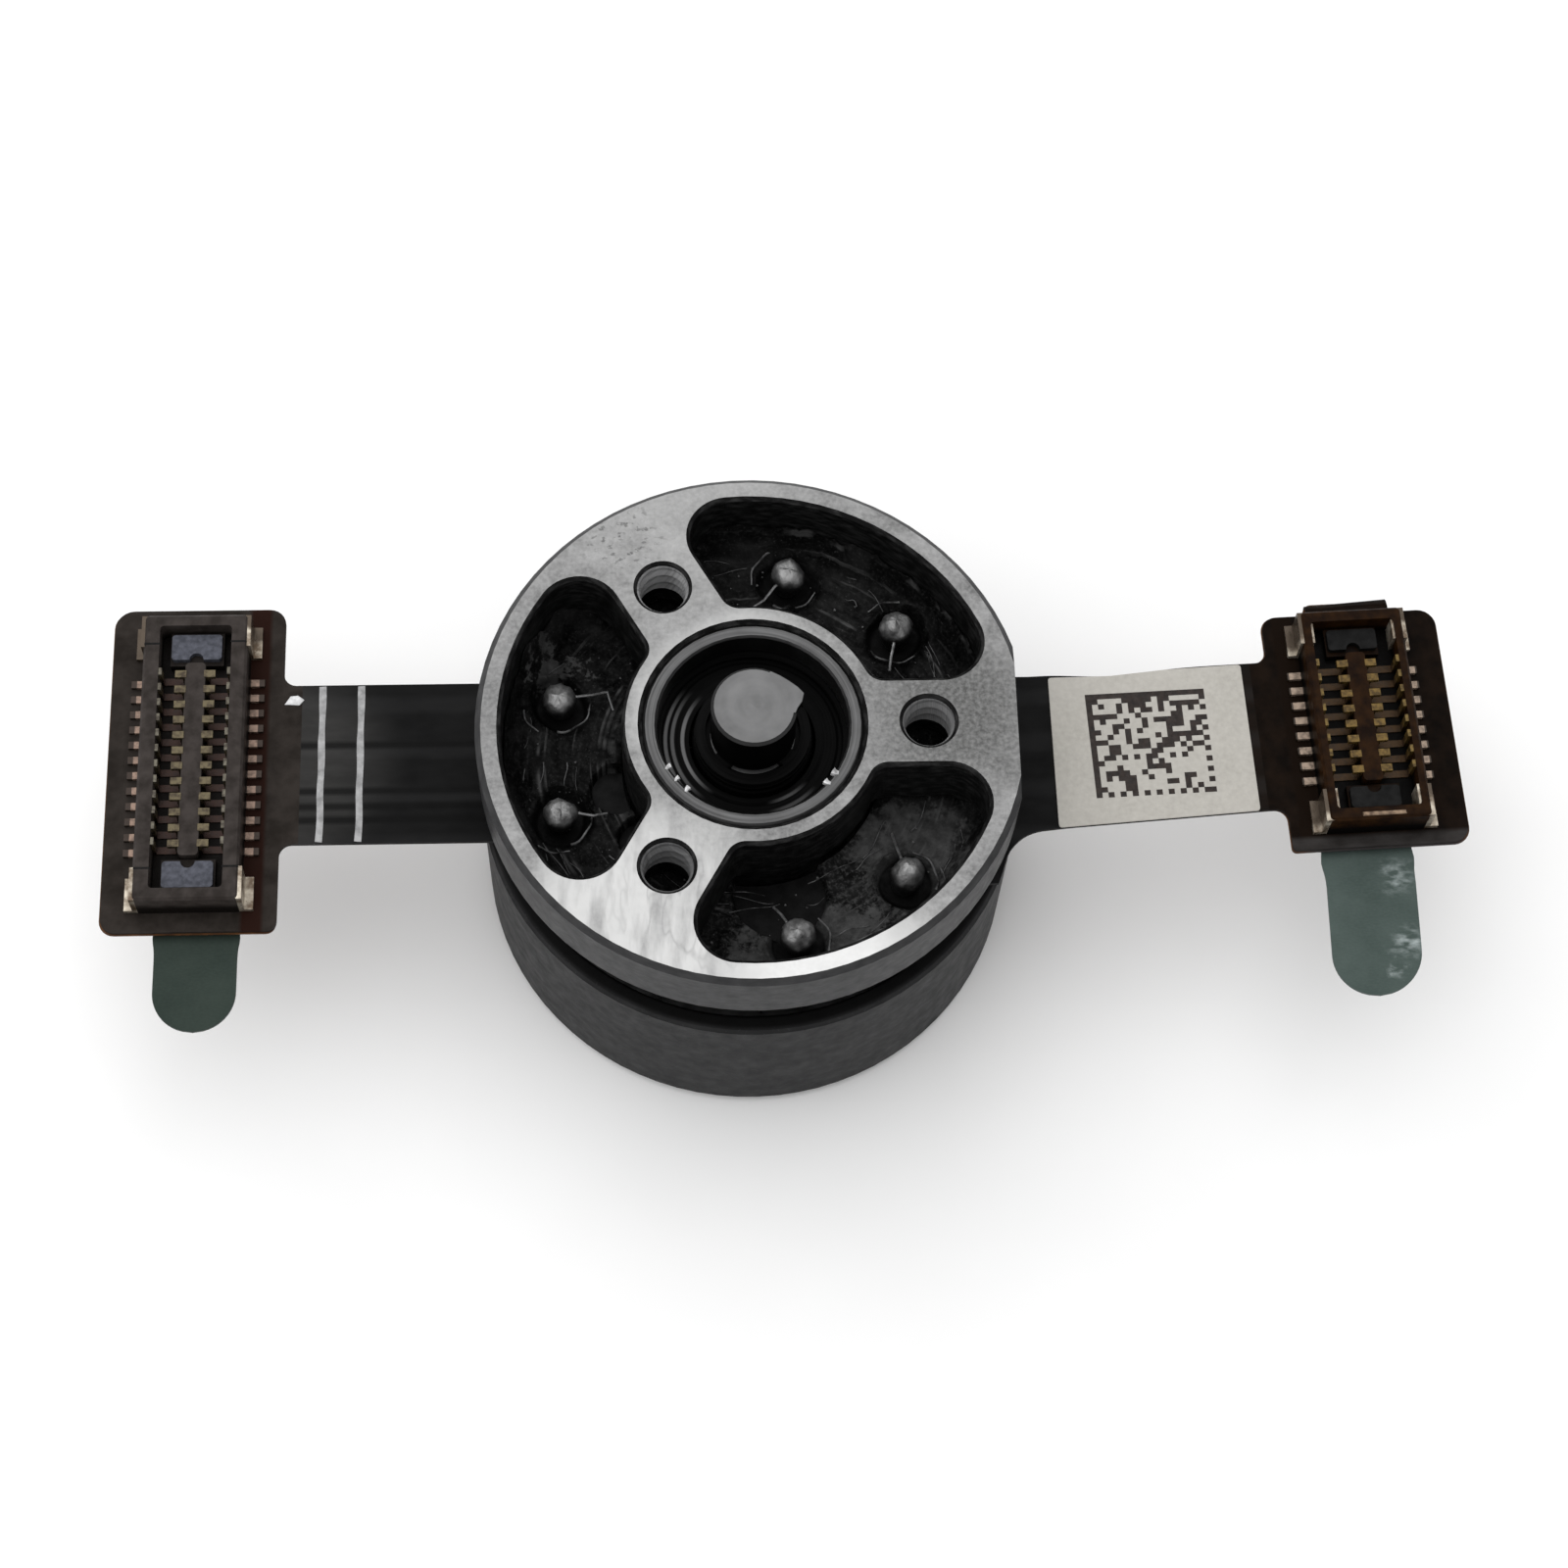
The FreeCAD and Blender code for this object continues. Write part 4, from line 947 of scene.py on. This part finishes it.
def quarter(side, cx, cy, r, start, sweep=-90):
    """A quarter circle from start degrees. Side -1 mirrors it in x."""
    angles = [math.radians(start + sweep * k / 6) for k in range(7)]
    return [(cx + side * r * math.cos(a), cy + r * math.sin(a)) for a in angles]


def end_board(side, edge, far, y0, y1, corners):
    """Outline of an end board past the strip's last column, from its high-y to its low-y side.
    Corners are radii: high-y near, high-y far, low-y far, low-y near."""
    a, b, c, d = corners
    neck = edge - side * NECK_FILLET

    def outline(low, high):
        return (quarter(side, neck, high + NECK_FILLET, NECK_FILLET, -90, 90)
                + quarter(side, edge + side * a, y1 - a, a, 180)
                + quarter(side, far - side * b, y1 - b, b, 90)
                + quarter(side, far - side * c, y0 + c, c, 0)
                + quarter(side, edge + side * d, y0 + d, d, -90)
                + quarter(side, neck, low - NECK_FILLET, NECK_FILLET, 0, 90))
    return outline


def span(a, b, step):
    count = max(2, round(abs(b - a) / step))
    return [a + (b - a) * k / count for k in range(count + 1)]


def left_tail():
    low, high = box_mm("left_flex")
    root_low, root_high = box_mm("left_flex_root")
    edge = low.x + 4.13
    y0, y1 = root_low.y, root_high.y
    columns = span(root_high.x, edge + 0.45, 0.12)
    tail = ("left_tail", 0.0, LEFT_BEND + Vector((0.75, 0, 0)), LEFT_BEND - Vector((0.65, 0, 0)))
    film("left_coverlay", columns, lambda x: (y0, y1),
         end_board(-1, edge, low.x, low.y, high.y, LEFT_CORNERS),
         (BASE_TOP, FILM_TOP), [MATS["left_flex"], MATS["left_board"]], tail, "flex_black",
         ["left_flex", "left_flex_root"])
    film("left_base_film", columns, lambda x: (y0 + 0.02, y1 - 0.02),
         end_board(-1, edge - 0.02, low.x - 0.035, low.y - 0.03, high.y + 0.03, LEFT_CORNERS),
         (FILM_BOTTOM, BASE_TOP), MATS["amber"], tail, "stiffener_board")
    marks = Build()
    for x in (-9.37, -10.30):
        rows = span(y0 + 0.3, y1 - 0.3, 0.3)
        outline = [(x - 0.10, y0 + 0.05), (x + 0.07, y0 + 0.03)]
        outline += [(x + 0.08 + 0.01 * math.sin(4 * y), y) for y in rows]
        outline += [(x + 0.08, y1 - 0.03), (x - 0.09, y1 - 0.04)]
        outline += [(x - 0.08 + 0.01 * math.sin(5 * y + 1), y) for y in reversed(rows)]
        marks.slab(outline, FILM_TOP, FILM_TOP + 0.012)
    marks.piece("left_silkscreen", MATS["silk"], "left_tail", "label_paper")
    dab = Build()
    dab.slab([(-11.22, 1.84), (-10.86, 1.82), (-10.74, 1.96), (-10.90, 2.08), (-11.08, 2.06)], FILM_TOP,
             FILM_TOP + 0.03)
    bevel(dab.piece("left_ink_dab", MATS["white"], "left_tail", "label_paper"), 0.012)


def housing_seams():
    """Fine dark parting lines across the left housing, where its end blocks start."""
    low, high = box_mm("left_connector_housing")
    seams = Build()
    for x, up, down in ((low.x + 0.02, 0.80, 0.78), (high.x - 0.40, 0.76, 0.80)):
        for y in (high.y - up, low.y + down):
            seams.brick((x, y, high.z - 0.01), (x + 0.38, y + 0.05, high.z + 0.004))
    seams.piece("left_housing_seams", MATS["well"], "left_tail", "connector_plastic")


def right_edges(x):
    """Low and high y of the right strip: it narrows past the label and is wider at its root."""
    if x < 5.77:
        bottom = -3.04
    elif x < 7.0:
        bottom = -3.04 + math.sqrt(max(0.0, 1.755 - (7.0 - x) ** 2 * 1.16))
    else:
        bottom = -1.715 + 0.17 * min(1.0, (x - 7.0) / 5.6)
    return bottom, 2.35 - 0.13 * math.exp(-((x - 8.9) / 1.3) ** 2)


def right_sag(x):
    return -0.05 * math.exp(-((x - 6.9) / 0.4) ** 2)


def right_tail():
    low, high = flat_box("right_stiffener")
    x0, x1, y0, y1 = low.x - 0.06, high.x + 0.06, low.y - 0.06, high.y - 0.36
    columns = span(5.2, x0 - 0.45, 0.12)
    tail = ("right_tail", RIGHT_TURN, RIGHT_BEND - TAIL_TOWARD * 0.55, RIGHT_BEND + TAIL_TOWARD * 0.30)
    film("right_coverlay", columns, right_edges, end_board(1, x0, x1, y0, y1, RIGHT_CORNERS),
         (BASE_TOP, FILM_TOP), [MATS["right_flex"], MATS["right_board"]], tail, "flex_black",
         ["right_flex", "right_flex_root"], right_sag)
    film("right_base_film", columns, lambda x: (right_edges(x)[0] + 0.02, right_edges(x)[1] + 0.03),
         end_board(1, x0 - 0.02, x1 + 0.04, y0 - 0.03, y1 + 0.03, RIGHT_CORNERS),
         (FILM_BOTTOM, BASE_TOP), MATS["right_amber"], tail, "stiffener_board", sag=right_sag)
    right_end_bar()
    folded_film((x0 + x1) / 2, y1)


def right_end_bar():
    low, high = flat_box("right_connector_housing")
    middle = (low.x + high.x) / 2
    bar = Build()
    bar.brick((middle - 0.46, low.y + 0.06, high.z - 0.02),
              (middle + 0.62, low.y + 0.19, high.z + 0.03), 0.03)
    bar.turned(RIGHT_TURN, RIGHT_PIVOT)
    bar.piece("right_end_bar", MATS["bar"], "right_tail", "anchor_metal")


def folded_film(cx, cy):
    """Film that wraps round the right board's high-y side, slightly skewed."""
    half, radius = 1.02, 0.21
    middle = (FILM_BOTTOM - 0.2 + FILM_TOP + 0.06) / 2
    stations = [(cy - 0.55, cy - 0.6, FILM_TOP + 0.01)]
    for k in range(8):
        a = math.pi * k / 7
        reach = math.sin(a)
        stations.append((cy - 0.05 + 0.36 * reach, cy - 0.02 + 0.42 * reach, middle + radius * math.cos(a)))
    fold = Build()
    for (l0, r0, z0), (l1, r1, z1) in zip(stations, stations[1:]):
        fold.add([(cx - half, l0, z0), (cx + half, r0, z0), (cx + half, r1, z1), (cx - half, l1, z1)],
                 [(0, 1, 2, 3)])
    fold.turned(RIGHT_TURN, RIGHT_PIVOT)
    obj = fold.piece("right_folded_film", MATS["right_board"], "right_tail", "flex_black")
    thick = obj.modifiers.new("thick", "SOLIDIFY")
    thick.thickness = 0.05 * MM
    thick.offset = -1


def label_and_code():
    """Paper label and a made-up pattern of square marks."""
    z = FILM_TOP
    rng = random.Random(2026)
    paper = Build()
    (x0, y0, _), (x1, y1, _) = flat_box("right_label")
    outline = [(x0 - 0.12, y0 + 0.05), (x1 + 0.02, y0 + 0.20), (x1 + 0.02, y1), (10.3, y1 - 0.03),
               (8.9, y1 - 0.12), (x0 + 0.02, y1 - 0.08)]
    paper.slab(rounded(outline, (0.08, 0.08, 0.08, 0, 0, 0.08)), z, z + 0.05)
    paper.turned(RIGHT_TURN, RIGHT_PIVOT)
    sheet = paper.piece("paper_label", MATS["label"], "right_tail", "label_paper", replaces=["right_label"])
    bevel(sheet, 0.012)
    code = Build()
    cells = 20
    wide, tall = 2.92 / cells, 2.74 / cells
    for row in range(cells):
        for col in range(cells):
            solid = col == 0 or row == cells - 1
            dotted = (col == cells - 1 and row % 2 == 0) or (row == 0 and col % 2 == 0)
            inside = 0 < col < cells - 1 and 0 < row < cells - 1 and rng.random() < 0.44
            if solid or dotted or inside:
                x, y = 8.24 + col * wide, -1.02 + row * tall
                code.brick((x, y, z + 0.05), (x + wide, y + tall, z + 0.054))
    code.turned(RIGHT_TURN, RIGHT_PIVOT)
    code.piece("code_marks", MATS["ink"], "right_tail", "label_paper")


def pull_tabs():
    """Film tabs with soft round ends and a slight curl."""
    rows, cols = 44, 12
    line = cols + 1
    per = (rows + 1) * line
    for side, turn in (("left", 0.0), ("right", RIGHT_TURN)):
        low, high = flat_box(f"{side}_pull_tab", turn)
        cx, r = (low.x + high.x) / 2, (high.x - low.x) / 2
        tip, root = low.y + 0.2, high.y
        flare_y, curl = (tip + 3.45, 0.010) if turn else (tip + 2.35, 0.006)
        tab = Build()
        verts, faces = [], [(k, k + 1, per + k + 1, per + k) for k in range(cols)]
        for lift in (0.012, 0.087):
            for i in range(rows + 1):
                y = tip + (root - tip) * (i / rows) ** 1.35
                inset = max(0.0, r - (y - tip))
                half = max(0.02, math.sqrt(max(0.0, r * r - inset * inset)))
                half += 0.05 * math.exp(-((y - flare_y) / 0.25) ** 2)
                drift = -0.16 * max(0.0, (root - 3.2 - y) / 2.5) if turn else 0.0
                z = low.z + lift + curl * (1 - min(1, (y - tip) / 2.4))
                for k in range(line):
                    f = 2 * k / cols - 1
                    verts.append((cx + drift + f * half, y, z + 0.012 * f * f))
        for a in range(0, rows * line, line):
            b = a + line
            for k in range(cols):
                faces += [(a + k, b + k, b + k + 1, a + k + 1),
                          (per + a + k, per + a + k + 1, per + b + k + 1, per + b + k)]
            faces += [(a, per + a, per + b, b), (b + cols, per + b + cols, per + a + cols, a + cols)]
        tab.add(verts, faces)
        tab.turned(turn, RIGHT_PIVOT)
        tab.piece(f"{side}_film_tab", MATS[f"{side}_tab"], f"{side}_tail", "tab_film",
                  replaces=[f"{side}_pull_tab"], sharp=50)


potting()
strands()
solder_and_wires()
screw_threads()
shaft_burr()
left_tail()
housing_seams()
right_tail()
label_and_code()
pull_tabs()


# --- floor, light and camera ---
def floor():
    mesh = bpy.data.meshes.new("floor")
    mesh.from_pydata([(-0.6, -0.6, 0), (0.6, -0.6, 0), (0.6, 0.6, 0), (-0.6, 0.6, 0)], [], [(0, 1, 2, 3)])
    s = Shade("floor_paper")
    tone = s.tone(s.grain(6.0, 3), 0.86, 0.88)
    mesh.materials.append(s.finish(tone, 0.8))
    add("floor", mesh)


def lamp(name, at, aim, size, power):
    data = bpy.data.lights.new(name, "AREA")
    data.shape = "RECTANGLE"
    data.size, data.size_y = size[0] * MM, size[1] * MM
    data.energy = power
    obj = add(name, data)
    obj.location = Vector(at) * MM
    obj.rotation_euler = (Vector(aim) - Vector(at)).to_track_quat("-Z", "Y").to_euler()


def light():
    world = bpy.data.worlds.new("studio")
    world.use_nodes = True
    background = world.node_tree.nodes["Background"]
    background.inputs["Color"].default_value = (1, 1, 1, 1)
    background.inputs["Strength"].default_value = 0.75
    bpy.context.scene.world = world
    lamp("key", (-60, 30, 200), (-1, 0, 6), (300, 300), 0.40)
    lamp("rear", (-20, 220, 90), (0, 0, 6), (200, 60), 0.06)


def camera():
    azimuth, elevation, roll = (math.radians(v) for v in (-5.5, 66.4, -4.25))
    distance, aside, upward = 80.0, 0.72, -1.43
    right = Vector((math.cos(azimuth), math.sin(azimuth), 0))
    back = Vector((math.sin(azimuth) * math.cos(elevation), -math.cos(azimuth) * math.cos(elevation),
                   math.sin(elevation)))
    up = back.cross(right)
    cam_right = math.cos(roll) * right - math.sin(roll) * up
    cam_up = math.sin(roll) * right + math.cos(roll) * up
    data = bpy.data.cameras.new("camera")
    data.lens, data.sensor_width = 78.66, 36
    data.clip_start, data.clip_end = 0.005, 5
    matrix = Matrix((cam_right, cam_up, back)).transposed().to_4x4()
    place = Vector((0, 0, PLATE_TOP)) + aside * cam_right + upward * cam_up + distance * back
    matrix.translation = place * MM
    obj = add("camera", data)
    obj.matrix_world = matrix
    bpy.context.scene.camera = obj


floor()
light()
camera()
bpy.context.scene.view_settings.view_transform = "Standard"
